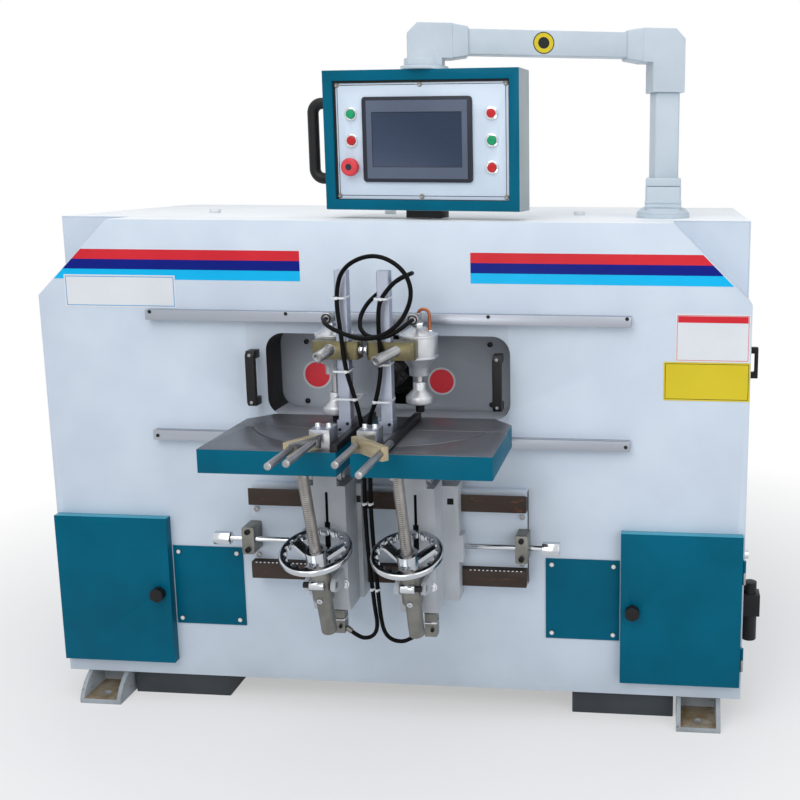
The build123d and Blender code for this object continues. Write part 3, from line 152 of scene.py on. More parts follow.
@dataclass(frozen=True)
class Finish:
    """A surface: its colours, its gloss and its grain.

    Attributes:
        name: What the material is.
        slot: Material slot of the record.
        colour: Main colour, sRGB.
        tint: Colour of its cloudy patches, sRGB.
        roughness: Middle of its roughness.
        metallic: 1 for bare metal.
        patch_mm: Size of the patches.
        grit_mm: Size of the surface grain, on metal coarser than the real one so that it shows.
        relief: Depth of the grain, as a bump strength.
        stretch: Pattern density along each axis, low along a brushing direction.
        wear: Colour of scattered marks, or nothing.
        wear_from: Noise level above which marks show.
        alpha: Opacity.
        specular: Strength of the reflection on paint and plastic.
    """

    name: str
    slot: str
    colour: str
    tint: str
    roughness: float
    metallic: float = 0.0
    patch_mm: float = 140.0
    grit_mm: float = 1.8
    relief: float = 0.05
    stretch: Point = (1.0, 1.0, 1.0)
    wear: str = ""
    wear_from: float = 0.62
    alpha: float = 1.0
    specular: float = 0.5

    def material(self) -> bpy.types.Material:
        """Build the node material once and give it back from then on.

        Returns:
            The material of this finish.
        """
        found = bpy.data.materials.get(self.name)
        if found:
            return found
        made = bpy.data.materials.new(self.name)
        made.use_nodes = True
        tree = made.node_tree
        shader = tree.nodes["Principled BSDF"].inputs
        shader["Metallic"].default_value = self.metallic
        shader["Alpha"].default_value = self.alpha
        shader["Specular IOR Level"].default_value = self.specular
        place = add_node(tree, "ShaderNodeTexCoord").outputs["Object"]
        mapping = add_node(tree, "ShaderNodeMapping", {"Vector": place, "Scale": self.stretch})
        grain = mapping.outputs["Vector"]
        patch = add_node(
            tree, "ShaderNodeTexNoise", {"Vector": grain, "Scale": 1000 / self.patch_mm, "Detail": 5.0}
        )
        share = add_node(
            tree, "ShaderNodeMapRange", {"Value": patch.outputs[0], "From Min": 0.36, "From Max": 0.64}
        )
        colour = add_node(
            tree, "ShaderNodeMix", {0: share.outputs[0], 6: linear(self.colour), 7: linear(self.tint)},
            data_type="RGBA",
        ).outputs[2]
        if self.wear:
            marks = add_node(
                tree, "ShaderNodeTexNoise",
                {"Vector": grain, "Scale": 4500 / self.patch_mm, "Detail": 8.0, "Roughness": 0.68},
            )
            shown = add_node(
                tree, "ShaderNodeMapRange",
                {"Value": marks.outputs[0], "From Min": self.wear_from, "From Max": self.wear_from + 0.09},
            )
            colour = add_node(
                tree, "ShaderNodeMix", {0: shown.outputs[0], 6: colour, 7: linear(self.wear)},
                data_type="RGBA",
            ).outputs[2]
        colour = self.marked(tree, place, colour)
        grit = add_node(
            tree, "ShaderNodeTexNoise", {"Vector": grain, "Scale": 1000 / self.grit_mm, "Detail": 3.0}
        )
        gloss = add_node(
            tree, "ShaderNodeMapRange",
            {"Value": grit.outputs[0], "From Min": 0.3, "From Max": 0.7,
             "To Min": max(self.roughness - 0.07, 0.03), "To Max": self.roughness + 0.08},
        )
        bump = add_node(
            tree, "ShaderNodeBump", {"Height": grit.outputs[0], "Strength": self.relief, "Distance": 0.0006}
        )
        tree.links.new(colour, shader["Base Color"])
        tree.links.new(gloss.outputs[0], shader["Roughness"])
        tree.links.new(bump.outputs[0], shader["Normal"])
        return made

    def marked(self, tree: Tree, place: Socket, colour: Socket) -> Socket:
        """Draw a pattern of its own over the colour, which a plain finish leaves as it is.

        Args:
            tree: Node tree of the material.
            place: Object coordinates.
            colour: Colour so far.

        Returns:
            The colour with the pattern.
        """
        return colour


@dataclass(frozen=True)
class SootyPaint(Finish):
    """Paint that is darker towards the floor, in clouds.

    Attributes:
        dust: Colour that the paint darkens to towards the floor.
        dust_span: Heights between which it fades out.
        dust_share: How much of it covers the paint at most.
        dust_mm: Size of its clouds.
    """

    dust: str = "#9AA0A4"
    dust_span: Span = (0.06, 0.34)
    dust_share: float = 0.4
    dust_mm: float = 1000 / 9

    def marked(self, tree: Tree, place: Socket, colour: Socket) -> Socket:
        """Darken the paint towards the floor, in clouds.

        Args:
            tree: Node tree of the material.
            place: Object coordinates.
            colour: Colour so far.

        Returns:
            The colour, darker towards the floor.
        """
        height = add_node(tree, "ShaderNodeSeparateXYZ", {0: place}).outputs["Z"]
        cloud = add_node(
            tree, "ShaderNodeTexNoise", {"Vector": place, "Scale": 1000 / self.dust_mm, "Detail": 6.0}
        )
        low = add_node(
            tree, "ShaderNodeMapRange",
            {"Value": height, "From Min": self.dust_span[0], "From Max": self.dust_span[1],
             "To Min": self.dust_share, "To Max": 0.0},
        )
        share = add_node(
            tree, "ShaderNodeMath", {0: low.outputs[0], 1: cloud.outputs[0]}, operation="MULTIPLY"
        )
        return add_node(
            tree, "ShaderNodeMix", {0: share.outputs[0], 6: colour, 7: linear(self.dust)}, data_type="RGBA"
        ).outputs[2]


@dataclass(frozen=True)
class RuledSteel(Finish):
    """Steel with a scale cut across it.

    Attributes:
        axis: Direction of the scale.
        pitch: Distance from line to line.
        line: Share of the pitch that a line takes.
        ink: Colour of the lines.
        middle: Place of the ruled strip across the machine.
        half: Half of the strip's width.
    """

    axis: Point = (0.0, 0.0, 1.0)
    pitch: float = 0.005
    line: float = 0.2
    ink: str = "#37332E"
    middle: float = 0.0
    half: float = 0.0035

    def marked(self, tree: Tree, place: Socket, colour: Socket) -> Socket:
        """Draw the scale's lines.

        Args:
            tree: Node tree of the material.
            place: Object coordinates.
            colour: Colour so far.

        Returns:
            The colour with lines.
        """
        along = add_node(tree, "ShaderNodeVectorMath", {0: place, 1: self.axis}, operation="DOT_PRODUCT")
        step = add_node(
            tree, "ShaderNodeMath", {0: along.outputs["Value"], 1: self.pitch}, operation="DIVIDE"
        )
        part = add_node(tree, "ShaderNodeMath", {0: step.outputs[0]}, operation="FRACT")
        mark = add_node(tree, "ShaderNodeMath", {0: part.outputs[0], 1: self.line}, operation="LESS_THAN")
        across = add_node(tree, "ShaderNodeSeparateXYZ", {0: place}).outputs["X"]
        strip = add_node(
            tree, "ShaderNodeMath", {0: across, 1: self.middle, 2: self.half}, operation="COMPARE"
        )
        drawn = add_node(
            tree, "ShaderNodeMath", {0: mark.outputs[0], 1: strip.outputs[0]}, operation="MULTIPLY"
        )
        return add_node(
            tree, "ShaderNodeMix", {0: drawn.outputs[0], 6: colour, 7: linear(self.ink)}, data_type="RGBA"
        ).outputs[2]


@dataclass(frozen=True)
class Display(Finish):
    """Switched-off display: a dark layer under glass, with a painted reflection that makes it paler towards
    its lower left corner.

    Attributes:
        glow: Colour of the painted reflection in the paler corner.
        slope: Direction in which it grows paler.
        span: Stretch of that direction between the dark corner and the pale one.
    """

    glow: str = "#424D64"
    slope: Point = (-1.0, 0.0, -1.1)
    span: Span = (-1.56, -1.32)

    def marked(self, tree: Tree, place: Socket, colour: Socket) -> Socket:
        """Paint the reflection on the display from corner to corner.

        Args:
            tree: Node tree of the material.
            place: Object coordinates.
            colour: Colour so far.

        Returns:
            The shaded colour.
        """
        along = add_node(tree, "ShaderNodeVectorMath", {0: place, 1: self.slope}, operation="DOT_PRODUCT")
        share = add_node(
            tree, "ShaderNodeMapRange",
            {"Value": along.outputs["Value"], "From Min": self.span[0], "From Max": self.span[1],
             "To Max": 0.85},
        )
        return add_node(
            tree, "ShaderNodeMix", {0: share.outputs[0], 6: colour, 7: linear(self.glow)}, data_type="RGBA"
        ).outputs[2]


# Powder coat on sheet steel: a soft orange-peel sheen; the roof's paler copy is a painted highlight of the
# light from above
CABINET = SootyPaint("cabinet_powder_coat", "cabinet_paint", "#D2DDE9", "#CBD6E3", 0.42, relief=0.07,
                     specular=0.25)
ROOF_HIGHLIGHT = Finish("roof_powder_coat", "cabinet_paint", "#F3F7FB", "#EDF2F7", 0.42, relief=0.07, specular=0.25)
TEAL = Finish("teal_powder_coat", "teal_paint", "#00627D", "#005A72", 0.4, relief=0.08, specular=0.08)
# Paler teal for the doors' upward faces: a painted highlight where the light from above falls on their top
# edges
TEAL_HIGHLIGHT = Finish("sunlit_teal_edge", "teal_paint", "#3F9FB8", "#3897B0", 0.3, relief=0.08, specular=0.4)
# Black that paints shade in recesses and under things: the window's tunnel, the carriage's slot and pocket,
# the tables' undersides, the louvres' openings and the spindle head
SHADE_BLACK = Finish("black_lacquered_sheet", "black_steel", "#17181A", "#202124", 0.5, specular=0.2)
SHIELD = Finish("grey_painted_shield", "grey_paint", "#B4BAC3", "#A9AFB8", 0.45, patch_mm=220, specular=0.25)
# Brushed-on enamel on castings and beams: thicker, a little cloudy, knocked off to grey here and there
BASE = Finish("dark_grey_enamel", "base_paint", "#464B4F", "#3D4145", 0.5, wear="#6A665F", wear_from=0.66,
              specular=0.2)
FOOT = Finish("enamelled_cast_foot", "foot_paint", "#AAB1B6", "#979EA3", 0.5, patch_mm=60, wear="#6B5A45",
              wear_from=0.6, specular=0.25)
GREY = Finish("light_grey_enamel", "grey_paint", "#BFC3C8", "#B4B8BD", 0.38, patch_mm=90, relief=0.08,
              specular=0.3)
# Darker copy of the boom's grey for the control case's sides and back: painted shade
BOOM_SHADED = Finish("mid_grey_enamel", "boom_paint", "#A9B4B7", "#A1ACAF", 0.42, specular=0.2)
BOOM = Finish("pale_grey_enamel", "boom_paint", "#C6D2DB", "#BCC8D2", 0.38, specular=0.3)
# Bare iron that has rusted in the shop: rough, brown, flecked
RUST = Finish("rusty_casting", "foot_paint", "#958D7E", "#78664A", 0.78, patch_mm=30, relief=0.3,
              wear="#8A5F36", wear_from=0.57)
# Ground and oiled iron and steel: faint lines along the grinding, darker where the oil stands
WAYS = Finish("rusted_ground_steel", "ways_steel", "#362B25", "#423832", 0.5, 0.4, 40, 1.2, 0.12, (0.2, 1, 1),
              "#6B452F", 0.6, specular=0.3)
IRON = Finish("ground_cast_iron", "table_iron", "#74767C", "#626469", 0.34, 0.6, 160, 1.2, 0.06, (0.12, 1, 1),
              "#6B5E5C", 0.62, specular=0.3)
# Turned, plated and brushed metals: tight highlights, grain along the cut
STEEL = Finish("turned_steel", "machined_steel", "#A3A4A6", "#929395", 0.32, 0.95, 50, 0.8, 0.06)
TUBE = Finish("grey_oxide_steel", "machined_steel", "#8B8A84", "#75746F", 0.42, 0.8, 40, 1.0, 0.08)
CHROME = Finish("chromium_plate", "chrome", "#D3D6DA", "#C6CACF", 0.12, 1.0, 80, 2.5, 0.01)
WHEEL = Finish("polished_cast_aluminium", "chrome", "#C9CCD1", "#BABEC3", 0.17, 1.0, 80, 2.5, 0.01)
ALU = Finish("brushed_aluminium", "aluminium", "#ABB0BA", "#9FA4AE", 0.34, 0.85, 60, 0.7, 0.05, (0.06, 1, 1))
COLUMN = Finish("extruded_aluminium", "aluminium", "#A1A7B6", "#969CAB", 0.38, 0.6, 60, 0.7, 0.05,
                (1, 1, 0.06))
CASTING = Finish("die_cast_aluminium", "aluminium", "#CDCFD2", "#BEC0C4", 0.38, 0.7, 30, 1.5, 0.08)
GOLD = Finish("yellow_passivated_steel", "bracket_steel", "#716A4B", "#635E49", 0.34, 0.8, 22, 1.0, 0.06,
              wear="#7C6C4C", wear_from=0.6)
STRIP = Finish("plain_steel_strip", "bracket_steel", "#B9AB8C", "#A79A7E", 0.4, 0.6, 25, 1.0, 0.06)
COPPER = Finish("copper_fitting", "bracket_steel", "#A4603F", "#8F543A", 0.35, 0.9, 20)
BLACK_STEEL = Finish("black_oxide_steel", "black_steel", "#1D1D1F", "#28282A", 0.42, 0.4, 30, specular=0.3)
# Moulded nylon, acrylic and rubber: fine texture, low sheen
BLACK = Finish("black_moulded_nylon", "black_plastic", "#141416", "#1B1B1D", 0.45, relief=0.12, grit_mm=1.0,
               specular=0.25)
PANE = Finish("clear_acrylic", "clear_pane", "#101214", "#101214", 0.05, relief=0.0, alpha=0.03)
FACE = Finish("satin_white_sheet", "aluminium", "#D5E2F0", "#CDDBEA", 0.4, specular=0.25)
HMI = Finish("navy_abs_bezel", "screen", "#2A2D38", "#252832", 0.42, grit_mm=0.9, relief=0.1, specular=0.25)
HMI_BAND = Finish("grey_overlay_film", "screen", "#5C6678", "#566072", 0.35, specular=0.25)
# Dark glass with a painted reflection that grows paler towards its lower left corner
SCREEN = Display("display_glass", "screen", "#343F54", "#343F54", 0.3, relief=0.0, specular=0.15)
STOP_RED = Finish("red_moulded_nylon", "red_plastic", "#DE4850", "#D6414A", 0.4, patch_mm=12, specular=0.3)
RED = Finish("red_moulded_acrylic", "red_plastic", "#C5252B", "#B81F26", 0.3, patch_mm=12, specular=0.3)
GREEN = Finish("green_moulded_acrylic", "green_plastic", "#14A06B", "#109260", 0.3, patch_mm=12, specular=0.3)
WHITE = Finish("white_nylon", "aluminium", "#E4E7EA", "#DCE0E4", 0.4, specular=0.3)
RUBBER = Finish("black_polyurethane_hose", "hose_rubber", "#060607", "#09090A", 0.4, relief=0.03,
                specular=0.08)
# Calendered vinyl: even colour, a smooth satin skin
FILM_SCARLET = Finish("scarlet_vinyl_film", "red_plastic", "#FF4A55", "#F7434F", 0.35, specular=0.15)
FILM_RED = Finish("red_vinyl_film", "red_plastic", "#D92F3A", "#D12A35", 0.35, specular=0.15)
FILM_NAVY = Finish("navy_vinyl_film", "cabinet_paint", "#0C1E84", "#0A1B7C", 0.35, specular=0.12)
FILM_CYAN = Finish("cyan_vinyl_film", "cabinet_paint", "#13BDF4", "#0FB5EC", 0.35, specular=0.15)
FILM_BLUE = Finish("blue_vinyl_film", "cabinet_paint", "#6FA8D8", "#689FD0", 0.35, specular=0.15)
FILM_YELLOW = Finish("yellow_vinyl_film", "cabinet_paint", "#DCC731", "#D5BF2A", 0.36, specular=0.15)


def above(level: float) -> Span:
    """Everything over a level."""
    return level, math.inf


def below(level: float) -> Span:
    """Everything under a level."""
    return -math.inf, level


def about(middle: float, half: float) -> Span:
    """A stretch to both sides of a middle."""
    return middle - half, middle + half


def within(x: Span = ANY, y: Span = ANY, z: Span = ANY, rise: Span = ANY) -> FaceTest:
    """Make a test that finds the faces in a box.

    Args:
        x: Stretch across the machine in which a face's centre lies.
        y: The same from front to back.
        z: The same in height.
        rise: Range of the normal's upward share.

    Returns:
        Test on a face's centre and normal.
    """
    spans = (x, y, z, rise)
    return lambda centre, normal: all(low < at < high for (low, high), at in zip(spans, (*centre, normal.z)))


def facing(across: Point, spot: Spot) -> Matrix:
    """Frame on an upright face.

    Args:
        across: Direction to the right, seen from outside.
        spot: Origin of the frame.

    Returns:
        Frame with x to the right, y up and z outwards.
    """
    right, up = Vector(across), Vector(UP)
    return Matrix.Translation(spot) @ Matrix((right, up, right.cross(up))).transposed().to_4x4()


def turned_to(axis: Spot) -> Matrix:
    """Rotation that brings the upright axis into a direction."""
    return Vector(UP).rotation_difference(Vector(axis)).to_matrix().to_4x4()


def set_mode(mode: str) -> None:
    """Switch the active piece to OBJECT or EDIT mode."""
    bpy.ops.object.mode_set(mode=mode)


def apply_transform() -> None:
    """Bake place, turn and size of the active piece into its mesh."""
    bpy.ops.object.transform_apply(location=True, rotation=True, scale=True)


def begin() -> None:
    """Go back to object mode with nothing selected."""
    if bpy.context.object and bpy.context.object.mode != "OBJECT":
        set_mode("OBJECT")
    bpy.ops.object.select_all(action="DESELECT")


def link(data: bpy.types.ID, name: str) -> Piece:
    """Put a new object with its data in the scene.

    Args:
        data: Mesh, curve, light or camera.
        name: Name of the object.

    Returns:
        The new object.
    """
    made = bpy.data.objects.new(name, data)
    bpy.context.scene.collection.objects.link(made)
    return made


def activate(piece: Piece) -> None:
    """Select a piece and make it the active one."""
    piece.select_set(True)
    bpy.context.view_layer.objects.active = piece


def block(centre: Spot, size: Spot) -> Piece:
    """Add a cube at its size and place.

    Args:
        centre: Its middle.
        size: Its length along each axis.

    Returns:
        The cube, as the active piece.
    """
    begin()
    bpy.ops.mesh.primitive_cube_add(size=1, location=centre, scale=size)
    apply_transform()
    return bpy.context.object


def apply_modifier(piece: Piece, kind: str, **settings: object) -> None:
    """Add a modifier to the active piece and apply it.

    Args:
        piece: The active object.
        kind: Blender's name of the modifier type.
        **settings: Attributes of the modifier.
    """
    modifier = piece.modifiers.new(kind.lower(), kind)
    for key, value in settings.items():
        setattr(modifier, key, value)
    bpy.ops.object.modifier_apply(modifier=modifier.name)


def break_edges(piece: Piece, width: float, segments: int) -> None:
    """Round the sharp edges of the active piece."""
    apply_modifier(piece, "BEVEL", width=width, segments=segments, limit_method="ANGLE", angle_limit=SHARP)


def repeat(piece: Piece, count: int, step: Point) -> None:
    """Make the active piece a row of equal ones."""
    apply_modifier(piece, "ARRAY", count=count, use_relative_offset=False, use_constant_offset=True,
                   constant_offset_displace=step)


def pick(piece: Piece, kind: str, test: Callable[[bpy.types.bpy_struct], bool]) -> None:
    """Select some corners, edges or faces of the active piece and stay in edit mode.

    Args:
        piece: The active mesh object.
        kind: VERT, EDGE or FACE.
        test: Tells whether an item of that kind is taken.
    """
    set_mode("EDIT")
    bpy.ops.mesh.select_mode(type=kind)
    bpy.ops.mesh.select_all(action="DESELECT")
    set_mode("OBJECT")
    mesh = piece.data
    for item in {"VERT": mesh.vertices, "EDGE": mesh.edges, "FACE": mesh.polygons}[kind]:
        item.select = test(item)
    set_mode("EDIT")


def pick_long_edges(piece: Piece, axis: int, least: float) -> None:
    """Select the edges that run further than a length along an axis.

    Args:
        piece: The active mesh object.
        axis: Number of the axis.
        least: Length that an edge has to pass.
    """
    places = [vertex.co[axis] for vertex in piece.data.vertices]
    runs = [abs(places[edge.vertices[0]] - places[edge.vertices[1]]) for edge in piece.data.edges]
    pick(piece, "EDGE", lambda edge: runs[edge.index] > least)


def paint(piece: Piece, finish: Finish, faces: Faces = ()) -> None:
    """Give a piece its finish, and some of its faces another one.

    Args:
        piece: Mesh object in its place.
        finish: Finish of the whole piece.
        faces: Further finishes, each with a test on a face's centre and normal.
    """
    piece.data.materials.clear()
    piece.data.materials.append(finish.material())
    for index, (other, test) in enumerate(faces, start=1):
        piece.data.materials.append(other.material())
        for polygon in piece.data.polygons:
            if test(polygon.center, polygon.normal):
                polygon.material_index = index
    for polygon in piece.data.polygons:
        polygon.material_index = min(polygon.material_index, len(piece.data.materials) - 1)


def settle(
    piece: Piece, name: str, finish: Finish, body: str, edge: float, matrix: Matrix = HERE, faces: Faces = (),
    segments: int = 2,
) -> Piece:
    """Put a modelled piece in its place, break its edges, dress it and let it ride.

    Args:
        piece: The active mesh object.
        name: Name of the piece.
        finish: Its finish.
        body: CAD body that it rides on, or nothing for a piece that rides on none.
        edge: Width of its broken edges.
        matrix: Frame that it was modelled in.
        faces: Further finishes with their face tests.
        segments: Segments of the broken edges.

    Returns:
        The piece.
    """
    if piece.mode != "OBJECT":
        set_mode("OBJECT")
    piece.name = name
    piece.matrix_world = matrix @ piece.matrix_world
    apply_transform()
    if edge:
        break_edges(piece, edge, segments)
    bpy.ops.object.shade_smooth_by_angle(angle=SHARP)
    paint(piece, finish, faces)
    if body:
        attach(piece, body)
    LOG.info("%s: %d faces", name, len(piece.data.polygons))
    return piece


def cad_copy(node: str, finish: Finish, edge: float = 0.0008, faces: Faces = (), segments: int = 2) -> Piece:
    """Copy a CAD node, merge its triangles, break its edges and dress it in its place.

    Args:
        node: Name of the CAD node.
        finish: Finish of the piece.
        edge: Width of the broken edges, or 0.
        faces: Further finishes with their face tests.
        segments: Segments of the broken edges.

    Returns:
        The piece that stands for the node.
    """
    begin()
    source = frame["nodes"][node]
    piece = link(source.data.copy(), f"{node}.dressed")
    activate(piece)
    bpy.ops.mesh.customdata_custom_splitnormals_clear()
    set_mode("EDIT")
    bpy.ops.mesh.select_all(action="SELECT")
    bpy.ops.mesh.remove_doubles(threshold=0.00001)
    bpy.ops.mesh.dissolve_limited(angle_limit=math.radians(0.3))
    settle(piece, f"{node}.dressed", finish, source["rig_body"], edge, faces=faces, segments=segments)
    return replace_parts(piece, node)


def carry(node: str, finish: Finish) -> None:
    """Give a CAD node that stays a material of its own.

    Args:
        node: Name of the CAD node.
        finish: Its finish.
    """
    mesh = frame["nodes"][node].data
    mesh.materials.clear()
    mesh.materials.append(finish.material())


def cuboid(
    name: str, low: Spot, high: Spot, finish: Finish, body: str, edge: float = 0.0008, matrix: Matrix = HERE,
    segments: int = 2,
) -> Piece:
    """Block with broken edges between two corners.

    Args:
        name: Name of the piece.
        low: One corner, in the frame of the matrix.
        high: The opposite corner.
        finish: Its finish.
        body: CAD body that it rides on.
        edge: Width of its broken edges.
        matrix: Frame that it is modelled in.
        segments: Segments of the broken edges.

    Returns:
        The piece.
    """
    piece = block([(a + b) / 2 for a, b in zip(low, high)], [abs(b - a) for a, b in zip(low, high)])
    return settle(piece, name, finish, body, edge, matrix, segments=segments)


def turned(
    name: str, base: Spot, axis: Spot, rings: Rings, finish: Finish, body: str, edge: float = 0.0004,
    sides: int = 32, matrix: Matrix = HERE, faces: Faces = (),
) -> Piece:
    """Turned piece: a disc extruded and scaled ring by ring along its axis.

    Args:
        name: Name of the piece.
        base: Centre of its base, in the frame of the matrix.
        axis: Direction from the base outwards.
        rings: Height and radius of each ring, from the base on; a lower ring sinks a recess.
        finish: Its finish.
        body: CAD body that it rides on.
        edge: Width of its broken edges.
        sides: Corners of the disc, six for a hexagon.
        matrix: Frame that it is modelled in.
        faces: Further finishes with their face tests.

    Returns:
        The piece.
    """
    begin()
    bpy.ops.mesh.primitive_circle_add(
        vertices=sides, radius=rings[0][1], fill_type="NGON", enter_editmode=True
    )
    piece = bpy.context.object
    bpy.ops.mesh.select_all(action="SELECT")
    for (start, inner), (end, outer) in zip(rings, rings[1:]):
        bpy.ops.mesh.extrude_region_move(TRANSFORM_OT_translate={"value": (0, 0, end - start)})
        bpy.ops.transform.resize(value=(outer / inner, outer / inner, 1))
    bpy.ops.mesh.select_all(action="SELECT")
    bpy.ops.mesh.normals_make_consistent(inside=False)
    set_mode("OBJECT")
    local = matrix @ Matrix.Translation(Vector(base)) @ turned_to(axis)
    return settle(piece, name, finish, body, edge, local, faces)


def socket_screw(
    name: str, base: Spot, axis: Spot, radius: float, finish: Finish, body: str, matrix: Matrix = HERE
) -> None:
    """Cap screw with its socket, in proportion to its radius.

    Args:
        name: Name of the screw.
        base: Centre of its seat, in the frame of the matrix.
        axis: Direction from the seat outwards.
        radius: Radius of its head.
        finish: Its finish.
        body: CAD body that it rides on.
        matrix: Frame that it is modelled in.
    """
    high = 0.8 * radius
    rings = [(0, radius), (high, radius), (high, 0.55 * radius), (0.35 * high, 0.5 * radius)]
    turned(name, base, axis, rings, finish, body, edge=0.0003, sides=24, matrix=matrix)


def hex_bolt(name: str, base: Spot, axis: Spot, radius: float, finish: Finish, body: str) -> None:
    """Hexagon head on its washer, in proportion to its radius.

    Args:
        name: Name of the head.
        base: Centre of the washer's seat.
        axis: Direction from the seat outwards.
        radius: Radius over the head's corners.
        finish: Finish of both.
        body: CAD body that they ride on.
    """
    thick, wide = 0.18 * radius, 1.25 * radius
    turned(f"{name}.washer", base, axis, [(0, wide), (thick, wide)], finish, body, edge=0.0002, sides=28)
    rings = [(0, radius), (0.6 * radius, radius), (0.72 * radius, 0.86 * radius)]
    seat = Vector(base) + Vector(axis).normalized() * thick
    turned(name, seat, axis, rings, finish, body, edge=0.0002, sides=6)


def framed_plate(
    name: str, low: Span, high: Span, thickness: float, borders: Sequence[float], finishes: Sequence[Finish],
    body: str, matrix: Matrix,
) -> Piece:
    """Thin plate with printed borders: each inset of its face gets the next finish.

    Args:
        name: Name of the piece.
        low: Lower left corner in the matrix' plane.
        high: Upper right corner.
        thickness: Thickness towards the viewer, along the matrix' z.
        borders: Widths of the borders, from the outside inwards.
        finishes: Finish of the rim and of each border and the field.
        body: CAD body that it rides on.
        matrix: Frame whose x and y lie in the plate.

    Returns:
        The piece.
    """
    piece = block(((low[0] + high[0]) / 2, (low[1] + high[1]) / 2, thickness / 2),
                  (high[0] - low[0], high[1] - low[1], thickness))
    for finish in finishes:
        piece.data.materials.append(finish.material())
    pick(piece, "FACE", lambda polygon: polygon.normal.z > 0.5)
    for index, border in enumerate(borders, start=1):
        bpy.ops.mesh.inset(thickness=border, depth=0)
        piece.active_material_index = index
        bpy.ops.object.material_slot_assign()
    set_mode("OBJECT")
    piece.name = name
    piece.matrix_world = matrix @ piece.matrix_world
    apply_transform()
    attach(piece, body)
    LOG.info("%s: %d faces", name, len(piece.data.polygons))
    return piece


def band(
    name: str, centre: Vector, size: Point, finish: Finish, body: str, matrix: Matrix = HERE,
    corner: float = 0.004,
) -> Piece:
    """Flat tie drawn round a bar: a box without its ends, rounded and given its thickness.

    Args:
        name: Name of the piece.
        centre: Middle of the band, in the frame of the matrix.
        size: Inner width and depth, and its height.
        finish: Its finish.
        body: CAD body that it rides on, or nothing for a piece that rides on none.
        matrix: Frame that it is modelled in.
        corner: Radius of its corners.

    Returns:
        The piece.
    """
    piece = block((0, 0, 0), size)
    pick(piece, "FACE", lambda polygon: abs(polygon.normal.z) > 0.5)
    bpy.ops.mesh.delete(type="FACE")
    set_mode("OBJECT")
    pick_long_edges(piece, 2, size[2] / 2)
    bpy.ops.mesh.bevel(offset=corner, segments=4, affect="EDGES")
    set_mode("OBJECT")
    apply_modifier(piece, "SOLIDIFY", thickness=0.0011, offset=1)
    return settle(piece, name, finish, body, 0.0002, matrix @ Matrix.Translation(centre))


